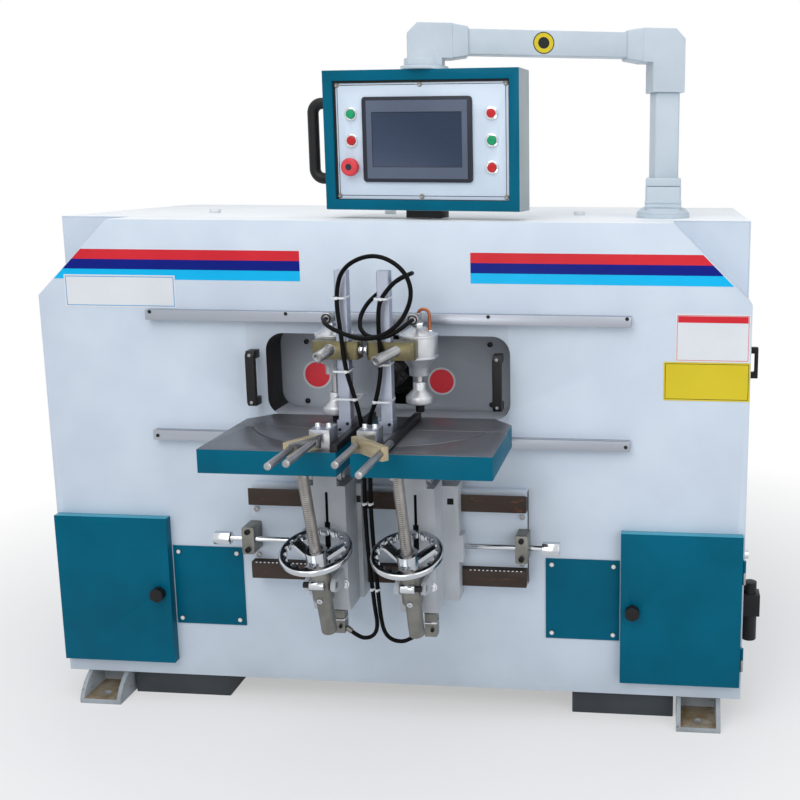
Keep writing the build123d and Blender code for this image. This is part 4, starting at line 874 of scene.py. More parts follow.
@dataclass
class Cabinet:
    """Sheet-metal cabinet with its doors, covers, feet and bare plates."""

    half_width: float = 0.8
    shoulder: float = 0.970
    window_half: Span = (0.282, 0.0985)
    window_z: float = 0.7975
    window_lip: float = 0.0016
    foot_floor: float = 0.0135
    stripe_inner: Span = (0.190, 0.191)
    stripe_top: float = 1.0755
    stripe_height: float = 0.0223
    stripe_inset: float = 0.002
    film: float = 0.0004
    plate: float = 0.0008
    border: float = 0.003
    panel_low: Span = (-0.70, 0.33)
    panel_high: Span = (0.14, 1.0)
    panel: float = 0.0018
    screw_inset: float = 0.02
    screw: Rings = ((0, 0.006), (0.0014, 0.006), (0.0028, 0.0038), (0.002, 0.0024))
    louvre: Span = (0.014, 0.007)
    louvre_pitch: float = 0.024
    grip_y: float = -0.33
    grip_z: float = 0.832
    grip_bar: Point = (0.014, 0.070, 0.008)
    grip_height: float = 0.017
    lock_z: float = 0.385
    lock: Rings = (
        (0, 0.014), (0.003, 0.014), (0.0045, 0.011), (0.014, 0.010), (0.014, 0.006), (0.011, 0.0055),
    )

    def build(self) -> None:
        """Make every piece of the cabinet."""
        self.shell()
        self.doors()
        self.stripes()
        self.plates()
        self.service_side()
        self.grip()

    def shell(self) -> None:
        """Dress the housing with its window's tunnel, the cabinet behind it, the base and the feet."""
        half_x, half_z = self.window_half
        tunnel = {
            "x": about(0, half_x), "y": above(FRONT + self.window_lip), "z": about(self.window_z, half_z),
        }
        # The roof's upward faces take the paler copy of the paint, a painted highlight of the light from
        # above
        roof = within(z=above(self.shoulder), rise=above(0.9))
        # Inside the window's tunnel the faces are painted black as shade; the upward faces of its floor keep
        # the shield's grey, where the light reaches
        sill = within(**tunnel, rise=above(0.75))
        cad_copy("front_housing", CABINET, 0.0007, [(SHADE_BLACK, within(**tunnel)), (SHIELD, sill), (ROOF_HIGHLIGHT, roof)])
        cad_copy("rear_cabinet", CABINET, 0.002, [(ROOF_HIGHLIGHT, roof)])
        cad_copy("base_frame", BASE, 0.002)
        cad_copy("anchor_feet", FOOT, 0.0015, [(RUST, within(z=below(self.foot_floor), rise=above(0.5)))])
        cad_copy("cover_plates", TEAL, 0.0008)
        # The screw heads' sides and broken edges are painted grey as their shading, which leaves a small
        # white top
        cad_copy("fasteners", WHITE, 0.0015, [(TUBE, lambda c, n: n.y > -0.98 and c.z < self.shoulder)])
        carry("bulkhead", CABINET)

    def doors(self) -> None:
        """Dress the doors, their hinges and star knobs."""
        cad_copy("door_hinges", STEEL, 0.0004)
        for side in Side:
            # The doors' upward faces take the paler teal as a painted highlight
            cad_copy(f"door_{side.tag}", TEAL, 0.002, [(TEAL_HIGHLIGHT, within(rise=above(0.5)))])
            cad_copy(f"door_knob_{side.tag}", BLACK, 0.002, segments=3)

    def stripes(self) -> None:
        """Lay the three vinyl stripes on either side, cut along the hood's slanted edges."""
        near = 0.001
        for side in Side:
            inner, top = side.of(self.stripe_inner), self.stripe_top
            for finish in (FILM_RED, FILM_NAVY, FILM_CYAN):
                low = top - self.stripe_height
                outer = self.half_width - (low - self.shoulder) - self.stripe_inset
                piece = block((side.value * (inner + outer) / 2, FRONT - self.film / 2, (low + top) / 2),
                              (outer - inner, self.film, self.stripe_height))
                pick(piece, "VERT",
                     lambda vertex: abs(vertex.co.x) > outer - near and vertex.co.z > top - near)
                bpy.ops.transform.translate(value=(-side.value * self.stripe_height, 0, 0))
                settle(piece, f"stripe.{finish.name.split('_')[0]}.{side.tag}", finish, "cabinet", 0)
                top = low

    def plates(self) -> None:
        """Fix the three bare plates on the front, one with a red header."""
        front = facing(ACROSS, (0, FRONT, 0))
        for name, low, high, line, finishes in (
            ("left", (-0.736, 0.945), (-0.477, 1.018), 0.002, (WHITE, FILM_BLUE, WHITE)),
            ("right", (0.637, 0.844), (0.797, 0.949), 0.0012, (WHITE, FILM_RED, WHITE)),
            ("yellow", (0.613, 0.758), (0.799, 0.843), 0.0012, (FILM_YELLOW, BLACK, FILM_YELLOW)),
        ):
            framed_plate(f"plate.{name}", low, high, self.plate, (self.border, line), finishes, "cabinet",
                         front)
            if name == "right":
                cuboid("plate.right.header", (0.642, FRONT - self.plate - self.film, 0.930),
                       (0.792, FRONT - 0.0007, 0.944), FILM_RED, "cabinet", 0)

    def service_side(self) -> None:
        """Screw the service panel on the back and set the louvres there and on both ends."""
        face = self.panel - FRONT
        (left, low), (right, high) = self.panel_low, self.panel_high
        cuboid("rear_panel", (left, -FRONT - 0.0002, low), (right, face, high), CABINET, "cabinet", 0.0014,
               segments=3)
        inset = self.screw_inset
        for column in range(4):
            for row in range(3):
                if column in (0, 3) or row != 1:
                    spot = (left + inset + column * (right - left - 2 * inset) / 3, face,
                            low + inset + row * (high - low - 2 * inset) / 2)
                    turned(f"rear_screw.{column}.{row}", spot, BACK, self.screw, STEEL, "cabinet",
                           edge=0.0002, sides=20)
        for name, across, spot, width, count in (
            ("rear", (-1, 0, 0), (-0.28, face, 0.80), 0.30, 9),
            ("right", BACK, (self.half_width, 0.12, 0.82), 0.20, 8),
            ("left", OUT, (-self.half_width, 0.12, 0.82), 0.20, 8),
        ):
            self.louvres(name, facing(across, spot), width, count)

    def louvres(self, name: str, matrix: Matrix, width: float, count: int) -> None:
        """Press a stack of louvres: each a wedge that is open at its lower edge.

        Args:
            name: Which stack.
            matrix: Frame of the top louvre on its face.
            width: Length of a louvre.
            count: How many there are.
        """
        high, deep = self.louvre
        crest = 0.005
        piece = block((0, 0, deep / 2), (width, high, deep))
        pick(piece, "VERT", lambda vertex: vertex.co.y > 0 and vertex.co.z > crest)
        bpy.ops.transform.translate(value=(0, 0, 0.0008 - deep))
        set_mode("OBJECT")
        pick(piece, "VERT", lambda vertex: vertex.co.z > crest)
        bpy.ops.transform.resize(value=(0.965, 1, 1))
        set_mode("OBJECT")
        break_edges(piece, 0.0016, 3)
        repeat(piece, count, (0, -self.louvre_pitch, 0))
        # The louvres' downward faces are painted black as the shade in their openings
        settle(piece, f"louvres.{name}", CABINET, "cabinet", 0, matrix, [(SHADE_BLACK, within(rise=below(-0.9)))])

    def grip(self) -> None:
        """Bolt the small bridge grip and the cam lock on the right end."""
        _, long, thick = self.grip_bar
        drop = thick / 2 - self.grip_height
        piece = block((0, 0, self.grip_height), self.grip_bar)
        pick_long_edges(piece, 1, 0.7 * long)
        bpy.ops.mesh.subdivide(number_cuts=4)
        set_mode("OBJECT")
        pick(piece, "FACE", lambda polygon: polygon.normal.z < -0.9 and abs(polygon.center.y) > 0.3 * long)
        bpy.ops.mesh.extrude_region_move(TRANSFORM_OT_translate={"value": (0, 0, drop)})
        settle(piece, "side_grip", BLACK, "cabinet", 0.002,
               facing(BACK, (self.half_width, self.grip_y, self.grip_z)), segments=3)
        turned("side_lock", (self.half_width, self.grip_y, self.lock_z), ACROSS, self.lock, CHROME, "cabinet",
               edge=0.0005)


@dataclass
class Guard:
    """Sliding clear panes in their rails above and below the window."""

    rail_face: float = FRONT - 0.020
    rail_screw_x: tuple[float, ...] = (-0.531, -0.219, 0.232, 0.533)
    rail_screw_z: Span = (0.9385, 0.6545)
    rail_screw: Rings = ((0, 0.0042), (0.0006, 0.0042), (0.0008, 0.0026), (0.0002, 0.0022))
    pane_face: float = FRONT - 0.014
    pane_outer: Span = (0.315, 0.274)
    handle_inset: float = 0.020
    handle_z: float = 0.796
    handle_half: float = 0.053
    handle_reach: float = 0.0335
    handle_screw: Rings = ((0, 0.0035), (0.003, 0.0035), (0.0034, 0.002), (0.0026, 0.0016))

    def build(self) -> None:
        """Make the rails, their screws, the panes and their handles."""
        cad_copy("guard_rails", ALU, 0.0012)
        for row, z in enumerate(self.rail_screw_z):
            for place, x in enumerate(self.rail_screw_x):
                turned(f"rail_screw.{row}.{place}", (x, self.rail_face, z), OUT, self.rail_screw, BLACK_STEEL,
                       "cabinet", edge=0.0001, sides=20)
        for side in Side:
            body = f"guard_pane_{side.tag}"
            cad_copy(body, PANE, 0.0006, [(BLACK, within(y=below(self.pane_face - 0.00005)))], segments=3)
            x = side.value * (side.of(self.pane_outer) - self.handle_inset)
            for name, end in ENDS:
                spot = (x, self.pane_face - self.handle_reach, self.handle_z + end * self.handle_half)
                turned(f"handle_screw.{side.tag}.{name}", spot, OUT, self.handle_screw, STEEL, body,
                       edge=0.0002, sides=20)


@dataclass
class SlideBed:
    """Bed plate with its ways, the bearing blocks and their screws."""

    bed_face: float = FRONT - 0.026
    bed_screw: Point = (0.305, 0.4355, 0.0545)
    block_face: float = FRONT - 0.076
    block_screw: Point = (0.309, 0.431, 0.021)
    way_face: float = FRONT - 0.046
    dot: Point = (0.004, 0.0001, 0.0022)
    dot_pitch: float = 0.0095
    dot_count: int = 13
    dot_start: Span = (0.19, 0.3695)

    def build(self) -> None:
        """Make the bed and what is screwed to it."""
        cad_copy("slide_ways", CABINET, 0.001, [(WAYS, within(y=below(self.bed_face - 0.0004)))])
        cad_copy("bearing_blocks", TUBE, 0.0015)
        for side in Side:
            for name, end in ENDS:
                for kind, face, (x, z, half), radius, finish in (
                    ("block", self.block_face, self.block_screw, 0.0062, BLACK_STEEL),
                    ("bed", self.bed_face, self.bed_screw, 0.006, STEEL),
                ):
                    spot = (side.value * x, face, z + end * half)
                    socket_screw(f"{kind}_screw.{side.tag}.{name}", spot, OUT, radius, finish, "cabinet")
            cad_copy(f"feed_screw_{side.tag}", CHROME, 0.0008)
            self.scale(side)

    def scale(self, side: Side) -> None:
        """Set the row of scale dots on the lower way's top edge.

        Args:
            side: Station that the row belongs to.
        """
        x, z = self.dot_start
        piece = block((side.value * x, self.way_face, z), self.dot)
        repeat(piece, self.dot_count, (side.value * self.dot_pitch, 0, 0))
        settle(piece, f"way_scale.{side.tag}", WHITE, "cabinet", 0.0001)


@dataclass
class Station:
    """One work station: carriage, tilting table, strut, clamp and length stop."""

    side: Side
    column_x: float = 0.096
    column_face: float = FRONT - 0.160
    slot_half: float = 0.0062
    slot_y: Span = (FRONT - 0.1597, FRONT - 0.1475)
    slot_z: Span = (0.335, 0.58)
    saddle_face: float = FRONT - 0.080
    pocket: Span = (0.154, 0.0072)
    pocket_y: Span = (FRONT - 0.0797, FRONT - 0.072)
    pocket_z: Span = (0.531, 0.5465)
    plug_x: Span = (-0.0600, -0.0456)
    port_x: Span = (0.086, 0.118)
    port_y: float = -0.126
    port_top: float = 0.3075
    port_width: float = 0.0261
    trunnion: Span = (-0.212, 0.393)
    strut_top: Span = (-0.3062, 0.682)
    lock: Span = (-0.023, 0.017)
    clamp: Span = (0.044, -0.165)
    bracket_z: float = 0.8885
    bracket_end: float = 0.036
    cylinder_reach: Span = (0.038, 0.055)
    cylinder_y: float = -0.109
    cylinder_radius: float = 0.040
    cylinder_top: float = 0.914
    cap_top: float = 0.928
    elbow_z: float = 0.950
    elbow_reach: float = 0.036
    lock_bar_x: Span = (0.026, 0.022)
    lock_bar_run: tuple[Point, Point] = ((-0.014, -0.030, -0.010), (-0.026, -0.042, -0.013))
    foot_disc: Span = (0.739, 0.765)
    foot_neck: float = 0.047
    guide_x: Span = (0.052, 0.037)
    guide_z: float = 0.740
    guide_radius: float = 0.00705
    link_face: float = FRONT - 0.328
    block_x: tuple[Span, Span] = ((0.028, 0.068), (0.026, 0.064))
    block_y: float = FRONT - 0.302
    block_top: float = 0.758

    def build(self) -> None:
        """Make the station's pieces from the bed upwards."""
        self.carriage()
        self.tilt()
        self.table()
        self.clamps()
        self.fittings()
        self.stops()

    @property
    def tag(self) -> str:
        """Ending of the station's names."""
        return self.side.tag

    @property
    def strut_frame(self) -> Matrix:
        """Frame of the strut: x to the right, z up along the strut."""
        lean = math.atan2(self.trunnion[0] - self.strut_top[0], self.strut_top[1] - self.trunnion[1])
        return Matrix.Translation(self.side.at(self.column_x, *self.trunnion)) @ Matrix.Rotation(lean, 4, "X")

    @property
    def cylinder(self) -> Vector:
        """Foot of the clamp cylinder's axis, on the floor."""
        return self.side.at(self.clamp[0] + self.side.of(self.cylinder_reach), self.cylinder_y, 0)

    def carriage(self) -> None:
        """Dress the carriage with its slot and pocket painted black as shade, and set its bolt, shim and
        port.
        """
        body = f"carriage_{self.tag}"
        middle, face = self.side.value * self.column_x, self.column_face
        slot = within(about(middle, self.slot_half), self.slot_y, self.slot_z)
        across, half = self.pocket
        pocket = within(about(self.side.value * across, half), self.pocket_y, self.pocket_z)
        port = within(z=below(self.port_top))
        # The column's slot and the saddle's pocket are painted black as shade
        cad_copy(body, GREY, 0.0012, [(SHADE_BLACK, slot), (SHADE_BLACK, pocket), (TUBE, port)])
        hex_bolt(f"column_bolt.{self.tag}", (middle + 0.033, face, 0.374), OUT, 0.0085, CHROME, body)
        cuboid(f"column_shim.{self.tag}", (middle + 0.019, face - 0.0012, 0.361),
               (middle + 0.0245, face + 0.0005, 0.387), BLACK_STEEL, body, 0.0003)
        self.port(body)
        if self.side is Side.LEFT:
            (left, right), (low, high) = self.plug_x, self.pocket_z
            cuboid("saddle_plug.left", (left, self.saddle_face - 0.0008, low),
                   (right, self.saddle_face + 0.0005, high), BLACK, body, 0.0004)

    def port(self, body: str) -> None:
        """Dress the hose port under the carriage with its seal, its ring and its bleed screw.

        Args:
            body: CAD body that they ride on.
        """
        middle = self.side.at(self.side.of(self.port_x), self.port_y, 0)
        for name, finish, low, high in (
            ("seal", BLACK, 0.3035, self.port_top), ("ring", CHROME, 0.2800, 0.2835),
        ):
            band(f"port_{name}.{self.tag}", middle + Vector((0, 0, (low + high) / 2)),
                 (self.port_width, self.port_width, high - low), finish, body, corner=0.0012)
        socket_screw(f"port_screw.{self.tag}", middle + Vector((0.004, -0.0129, 0.266)), OUT, 0.0042,
                     BLACK_STEEL, body)

    def tilt(self) -> None:
        """Dress the trunnion with its lock, the strut with its scale and the handwheel."""
        inverse = self.strut_frame.inverted()

        def at_lock(centre: Vector) -> Span:
            """Distance of a face from the lock's axis, and its distance from the lock's middle along it."""
            spot = inverse @ centre
            return math.hypot(spot.y - self.lock[0], spot.z - self.lock[1]), abs(spot.x)

        def on_barrel(centre: Vector, normal: Vector) -> bool:
            """Tell whether a face belongs to the lock's barrel."""
            away, along = at_lock(centre)
            return away < 0.0104 and along < 0.0153 and (away > 0.0085 or along > 0.0145)

        def on_knob(centre: Vector, normal: Vector) -> bool:
            """Tell whether a face belongs to the lock's knob."""
            away, along = at_lock(centre)
            return away < 0.0068 and along > 0.0151

        body = f"trunnion_{self.tag}"
        cad_copy(body, TUBE, 0.0012, [(CHROME, on_barrel), (BLACK, on_knob)])
        socket_screw(f"tube_screw.{self.tag}", (0, -0.0215, -0.025), OUT, 0.006, CHROME, body,
                     self.strut_frame)
        scale = RuledSteel(
            f"ruled_steel_{self.tag}", "machined_steel", "#B3AEA9", "#9B9691", 0.36, 0.7, 30, 1.0, 0.08,
            axis=tuple(self.strut_frame.to_3x3() @ Vector(UP)), middle=self.side.value * self.column_x,
        )
        cad_copy(f"strut_{self.tag}", scale, 0.0006)
        cad_copy(f"handwheel_{self.tag}", WHEEL, 0.0012, segments=3)

    def table(self) -> None:
        """Dress the table: ground top, painted aprons, underside painted black as shade, and bare lug."""
        cad_copy(f"table_{self.tag}", TEAL, 0.0012, [
            (IRON, lambda c, n: c.z > 0.7105 and (n.z > 0.3 or c.z < 0.7155)),
            (SHADE_BLACK, lambda c, n: c.z < 0.6985 and n.z < -0.5 and abs(c.x) > 0.026),
            (STEEL, within(z=below(0.667))),
        ])
        cad_copy(f"fence_{self.tag}", BLACK_STEEL, 0.001)

    def clamps(self) -> None:
        """Dress the clamp's column, its bracket with cylinder, elbow and locking bar, and its foot."""
        axis = self.cylinder
        cad_copy(f"clamp_column_{self.tag}", COLUMN, 0.0006)

        def on_cylinder(centre: Vector, normal: Vector) -> bool:
            """Tell whether a face belongs to the clamp cylinder."""
            away = (centre.xy - axis.xy).length
            return away < self.cylinder_radius + 0.0001 or centre.z > self.cylinder_top

        elbow = within(z=above(self.cap_top + 0.0003))
        bar = within(y=below(FRONT + self.clamp[1] - 0.0211), z=below(0.905))
        cad_copy(f"clamp_bracket_{self.tag}", GOLD, 0.0008,
                 [(CASTING, on_cylinder), (STEEL, elbow), (STEEL, bar)])
        disc = self.side.of(self.foot_disc)
        cad_copy(f"clamp_foot_{self.tag}", CASTING, 0.0015, [
            (BLACK, within(z=below(disc - 0.0001))), (STEEL, within(z=above(disc + self.foot_neck + 0.0005))),
        ])

    def fittings(self) -> None:
        """Set the clamp's bolt, nuts, rims and screws, and the cap of its locking bar."""
        body, tag, sign = f"table_{self.tag}", self.tag, self.side.value
        axis, rim, face = self.cylinder, self.cylinder_radius, FRONT + self.clamp[1]
        end = sign * (self.clamp[0] - self.bracket_end)
        hex_bolt(f"bracket_bolt.{tag}", (end, face - 0.010, self.bracket_z), (-sign, 0, 0), 0.0075, CHROME,
                 body)
        turned(f"elbow_nut.{tag}", (axis.x, axis.y, self.cap_top - 0.001), UP,
               [(0, 0.0125), (0.010, 0.0125), (0.0112, 0.011)], CHROME, body, edge=0.0003, sides=6)
        turned(f"elbow_collar.{tag}", (axis.x, axis.y - self.elbow_reach, self.elbow_z), OUT,
               [(0, 0.0122), (0.0125, 0.0122), (0.0135, 0.0105)], STEEL, body, edge=0.0003, sides=24,
               faces=[(BLACK, lambda c, n: n.y < -0.99)])
        for name, low in (("low", 0.8632), ("top", 0.9076)):
            turned(f"cylinder_rim.{tag}.{name}", (axis.x, axis.y, low), UP,
                   [(0, rim - 0.001), (0.0006, rim + 0.0014), (0.0055, rim + 0.0014), (0.0062, rim - 0.001)],
                   CASTING, body, edge=0.0004, sides=56)
        for name, aside, z in (("top", 0.008, 0.7355), ("low", -0.009, 0.7225)):
            spot = (sign * self.clamp[0] + aside, face - 0.020, z)
            socket_screw(f"base_screw.{tag}.{name}", spot, OUT, 0.0032, BLACK_STEEL, body)
        if self.side is Side.RIGHT:
            self.bleed_pipe(Vector((axis.x, axis.y, self.elbow_z)), body)
        run = Vector(self.side.of(self.lock_bar_run))
        reach = self.clamp[0] + self.side.of(self.lock_bar_x)
        root = self.side.at(reach, self.clamp[1] - 0.021, self.bracket_z)
        turned(f"lock_bar_cap.{tag}", root + run - run.normalized() * 0.001, run,
               [(0, 0.0118), (0.003, 0.0118), (0.003, 0.0064), (0.0012, 0.0058)], STEEL, body, edge=0.0005,
               sides=36)

    def bleed_pipe(self, elbow: Vector, body: str) -> None:
        """Bend the small copper pipe from the elbow down to the cylinder's cap.

        Args:
            elbow: Middle of the elbow.
            body: CAD body that the pipe rides on.
        """
        bend, bore, rise = 0.012, 0.0034, 0.004
        begin()
        bpy.ops.mesh.primitive_circle_add(vertices=16, radius=bore, location=(bend, 0, 0),
                                          rotation=(math.pi / 2, 0, 0), enter_editmode=True)
        piece = bpy.context.object
        bpy.ops.mesh.select_all(action="SELECT")
        bpy.ops.mesh.spin(steps=18, angle=-math.pi, center=(0, 0, 0), axis=UP)
        bpy.ops.mesh.select_all(action="SELECT")
        bpy.ops.mesh.remove_doubles(threshold=0.00002)
        bpy.ops.mesh.normals_make_consistent(inside=False)
        place = facing(ACROSS, elbow + Vector((bend, 0, rise)))
        settle(piece, f"bleed_pipe.{self.tag}", COPPER, body, 0, place)
        foot = Vector((elbow.x + 2 * bend, elbow.y, self.cylinder_top - 0.0005))
        turned(f"bleed_leg.{self.tag}", foot, UP, [(0, bore), (elbow.z + rise - foot.z, bore)], COPPER, body,
               edge=0, sides=16)
        turned(f"bleed_nut.{self.tag}", foot, UP, [(0, 0.0062), (0.008, 0.0062), (0.009, 0.005)], CHROME,
               body, edge=0.0003, sides=6)

    def stops(self) -> None:
        """Dress the length stop: block, link, guide rod and stop rod, with the block's studs."""
        guide = self.side.value * self.side.of(self.guide_x)

        def on_rod(centre: Vector, normal: Vector) -> bool:
            """Tell whether a face belongs to the guide rod."""
            away = math.hypot(centre.x - guide, centre.z - self.guide_z)
            return away < self.guide_radius and centre.y < self.link_face + 0.0001

        link_test = within(y=below(self.link_face - 0.0001))
        cad_copy(f"stop_block_{self.tag}", ALU, 0.0008, [(STRIP, link_test), (STEEL, on_rod)])
        cad_copy(f"stop_rod_{self.tag}", STEEL, 0.001)
        low, high = self.side.of(self.block_x)
        for name, x in (("inner", low + 0.009), ("outer", high - 0.009)):
            turned(f"stop_stud.{self.tag}.{name}", (self.side.value * x, self.block_y, self.block_top), UP,
                   [(0, 0.0075), (0.0016, 0.0075), (0.0016, 0.005), (0.0075, 0.005), (0.0085, 0.004)], CHROME,
                   f"table_{self.tag}", edge=0.0003, sides=24)


@dataclass
class AirHose:
    """Limp air hose from the port under a carriage to its clamp cylinder, with its nylon ties."""

    side: Side
    radius: float = 0.0045
    lead: float = 0.022
    nipple_x: Span = (0.073, 0.105)
    nipple: Span = (-0.126, 0.258)
    nipple_length: float = 0.014
    tilt: Span = (38.0, 30.0)
    elbow: Span = (-0.159, 0.950)
    elbow_x: Span = (0.082, 0.099)
    length: Span = (1.373, 1.297)
    bend: Span = (0.56, 0.70)
    column: Span = (0.044, -0.165)
    column_half: float = 0.0133
    tie_slack: float = 0.0003
    hose_ties: Span = (0.362, 0.557)
    column_ties: tuple[Point, Point] = ((0.790, 0.848, 0.998), (0.785, 0.862, 0.997))
    # Points of either hose in millimetres, with y from the front plate
    points: tuple[tuple[Point, ...], tuple[Point, ...]] = (
        (
            (-23.4, -128, 235.8), (-6.5, -132, 249), (0.5, -138, 275), (-2, -146, 312),
            (-4.5, -152, 360), (-7.5, -158, 420), (-11, -160, 485), (-13, -162, 560),
            (-9, -168, 630), (-6, -180, 690), (-5, -190, 740), (-14, -197, 790),
            (-33, -199, 855), (-40, -196, 925), (-50, -192, 1000), (-33, -198, 1062),
            (37, -215, 1092), (98, -226, 1066), (121, -234, 1016), (101, -241, 962),
            (62, -243, 930), (18, -238, 921), (-24, -226, 929), (-62, -210, 942),
        ),
        (
            (53.5, -130, 231), (30, -135, 237), (16, -142, 257), (11, -148, 292),
            (9, -153, 336), (6.5, -158, 400), (2, -160, 480), (0, -162, 560),
            (4, -168, 630), (6.5, -181, 690), (11, -191, 745), (31, -196, 795),
            (41, -192, 855), (37, -192, 925), (38, -193, 985), (54, -194, 1012),
            (80, -194, 1038), (100, -174, 1046), (100, -146, 1046), (80, -126, 1038),
            (50, -127, 1020), (22, -134, 1002), (1, -156, 979), (-4, -188, 952),
            (8, -212, 930), (36, -221, 921), (62, -220, 924), (86, -208, 938),
        ),
    )

    def route(self) -> list[Vector]:
        """Control points of the hose, from its nipple to its elbow.

        Returns:
            The points in the machine's frame.
        """
        slope = math.radians(self.side.of(self.tilt))
        run = Vector((-self.side.value * math.cos(slope), 0, -math.sin(slope)))
        start = self.side.at(self.side.of(self.nipple_x), *self.nipple) + run * self.nipple_length
        middle = [Vector((x / 1000, FRONT + y / 1000, z / 1000)) for x, y, z in self.side.of(self.points)]
        end = self.side.at(self.side.of(self.elbow_x), *self.elbow)
        return [start, start + run * self.lead, *middle, end - Vector((0, self.lead, 0)), end]

    def curve(self, name: str, bevel: float) -> Piece:
        """Smooth spline through the hose's route.

        Args:
            name: Name of the object.
            bevel: Radius of its tube, or 0 for its line alone.

        Returns:
            The curve object.
        """
        route = self.route()
        data = bpy.data.curves.new(name, "CURVE")
        data.dimensions = "3D"
        spline = data.splines.new("NURBS")
        spline.points.add(len(route) - 1)
        for point, spot in zip(spline.points, route):
            point.co = (*spot, 1)
        spline.order_u = 3
        spline.use_endpoint_u = True
        data.resolution_u = 8
        data.bevel_depth = bevel
        data.bevel_resolution = 5
        data.use_fill_caps = bool(bevel)
        return link(data, name)

    def build(self) -> None:
        """Make the hose as a tube along its spline, and tie it up."""
        tag = self.side.tag
        line = self.curve(f"hose_line.{tag}", 0)
        bpy.context.view_layer.update()
        mesh = bpy.data.meshes.new_from_object(line.evaluated_get(bpy.context.evaluated_depsgraph_get()))
        path = [vertex.co.copy() for vertex in mesh.vertices]
        bpy.data.objects.remove(line)
        begin()
        activate(self.curve(f"air_hose.{tag}", self.radius))
        bpy.ops.object.convert(target="MESH")
        tube = bpy.context.object
        bpy.ops.object.shade_smooth_by_angle(angle=math.radians(50))
        paint(tube, RUBBER)
        self.follow(tube)
        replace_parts(tube, f"air_hose_{tag}")
        ties = [self.hose_tie(path, height) for height in self.hose_ties]
        ties += [self.column_tie(path, height) for height in self.side.of(self.column_ties)]
        self.side.of(self.length)
        LOG.info("air hose %s: %d points", tag, len(path))

    def follow(self, piece: Piece) -> None:
        """Bake a piece's place into its mesh; it is not made to follow the carriage or the table."""
        f"carriage_{self.side.tag}"
        f"table_{self.side.tag}"
        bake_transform(piece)

    def spot(self, path: Sequence[Vector], height: float) -> tuple[Vector, Vector]:
        """Find where the rising hose passes a height, past its first drop from the nipple.

        Args:
            path: Points along the hose.
            height: Height above the floor.

        Returns:
            The point and the hose's direction there.
        """
        for before, after in zip(path[10:], path[11:]):
            if before.z <= height < after.z:
                share = (height - before.z) / (after.z - before.z)
                return before.lerp(after, share), (after - before).normalized()
        raise ValueError(f"the hose doesn't pass {height}")

    def hose_tie(self, path: Sequence[Vector], height: float) -> Piece:
        """Tie drawn round the hose alone, with its lock head.

        Args:
            path: Points along the hose.
            height: Height of the tie.

        Returns:
            The tie.
        """
        centre, along = self.spot(path, height)
        matrix = Matrix.Translation(centre) @ turned_to(along)
        wide, head = 2 * (self.radius + self.tie_slack), 0.0027
        name = f"hose_tie.{self.side.tag}.{int(height * 1000)}"
        tie = band(name, Vector(), (wide, wide, 0.005), WHITE, "", matrix, corner=0.0042)
        self.follow(tie)
        lock = cuboid(f"{name}.head", (-head, -wide / 2 - 0.004, -head), (head, -wide / 2 - 0.0005, head),
                      WHITE, "", 0.0005, matrix)
        self.follow(lock)
        return tie

    def column_tie(self, path: Sequence[Vector], height: float) -> Piece:
        """Tie drawn round the clamp column and the hose in front of it.

        Args:
            path: Points along the hose.
            height: Height of the tie.

        Returns:
            The tie.
        """
        hose, _ = self.spot(path, height)
        column = self.side.at(*self.column, height)
        reach, half, head = self.radius + self.tie_slack, self.column_half, 0.003
        low = Vector([min(column[i] - half, hose[i] - reach) for i in (0, 1)])
        high = Vector((max(column.x + half, hose.x + reach), column.y + half))
        body = f"table_{self.side.tag}"
        name = f"column_tie.{self.side.tag}.{int(height * 1000)}"
        tie = band(name, Vector((*(low + high) / 2, height)), (*(high - low), 0.0042), WHITE, body)
        cuboid(f"{name}.head", (hose.x - head, low.y - 0.0042, height - head),
               (hose.x + head, low.y - 0.0008, height + head), WHITE, body, 0.0006)
        return tie


@dataclass
class SpindleUnit:
    """Shield, spindle and cutter behind the window."""

    shield_face: float = FRONT + 0.097
    film: float = 0.0008
    rim_share: float = 0.875
    bolt_spots: tuple[Span, ...] = ((-0.2154, 0.8571), (-0.2179, 0.7166), (0.2154, 0.8571), (0.2179, 0.7166))
    bolt: Rings = ((0, 0.006), (0.003, 0.006), (0.0042, 0.004))

    def build(self) -> None:
        """Dress the unit and set the discs and bolts on its shield."""
        cad_copy("cross_slide", SHIELD, 0.0006)
        # The spindle head is painted black and the cutter dark steel as the shade in the shield's slot
        carry("spindle_head", SHADE_BLACK)
        cad_copy("cutter", BLACK_STEEL, 0.0008)
        self.disc("left", -0.1926, 0.7795, 0.034)
        self.disc("right", 0.1017, 0.7694, 0.0325)
        for place, (x, z) in enumerate(self.bolt_spots):
            turned(f"shield_bolt.{place}", (x, self.shield_face, z), OUT, self.bolt, BLACK_STEEL,
                   "cross_slide", edge=0.0003, sides=20)

    def disc(self, name: str, x: float, z: float, radius: float) -> None:
        """Stick one plain red disc with its white rim on the shield.

        Args:
            name: Which of the two.
            x: Its place across the machine.
            z: Its height.
            radius: Its radius.
        """
        inner, film = self.rim_share * radius, self.film
        rings = [(0, radius), (film, radius), (film, inner), (film + 0.0001, inner * 0.99)]

        def on_film(centre: Vector, normal: Vector) -> bool:
            """Tell whether a face belongs to the red film inside the rim."""
            return centre.y < self.shield_face - film - 0.00005 and normal.y < -0.9

        turned(f"shield_disc.{name}", (x, self.shield_face, z), OUT, rings, WHITE, "cross_slide", edge=0,
               sides=56, faces=[(FILM_SCARLET, on_film)])


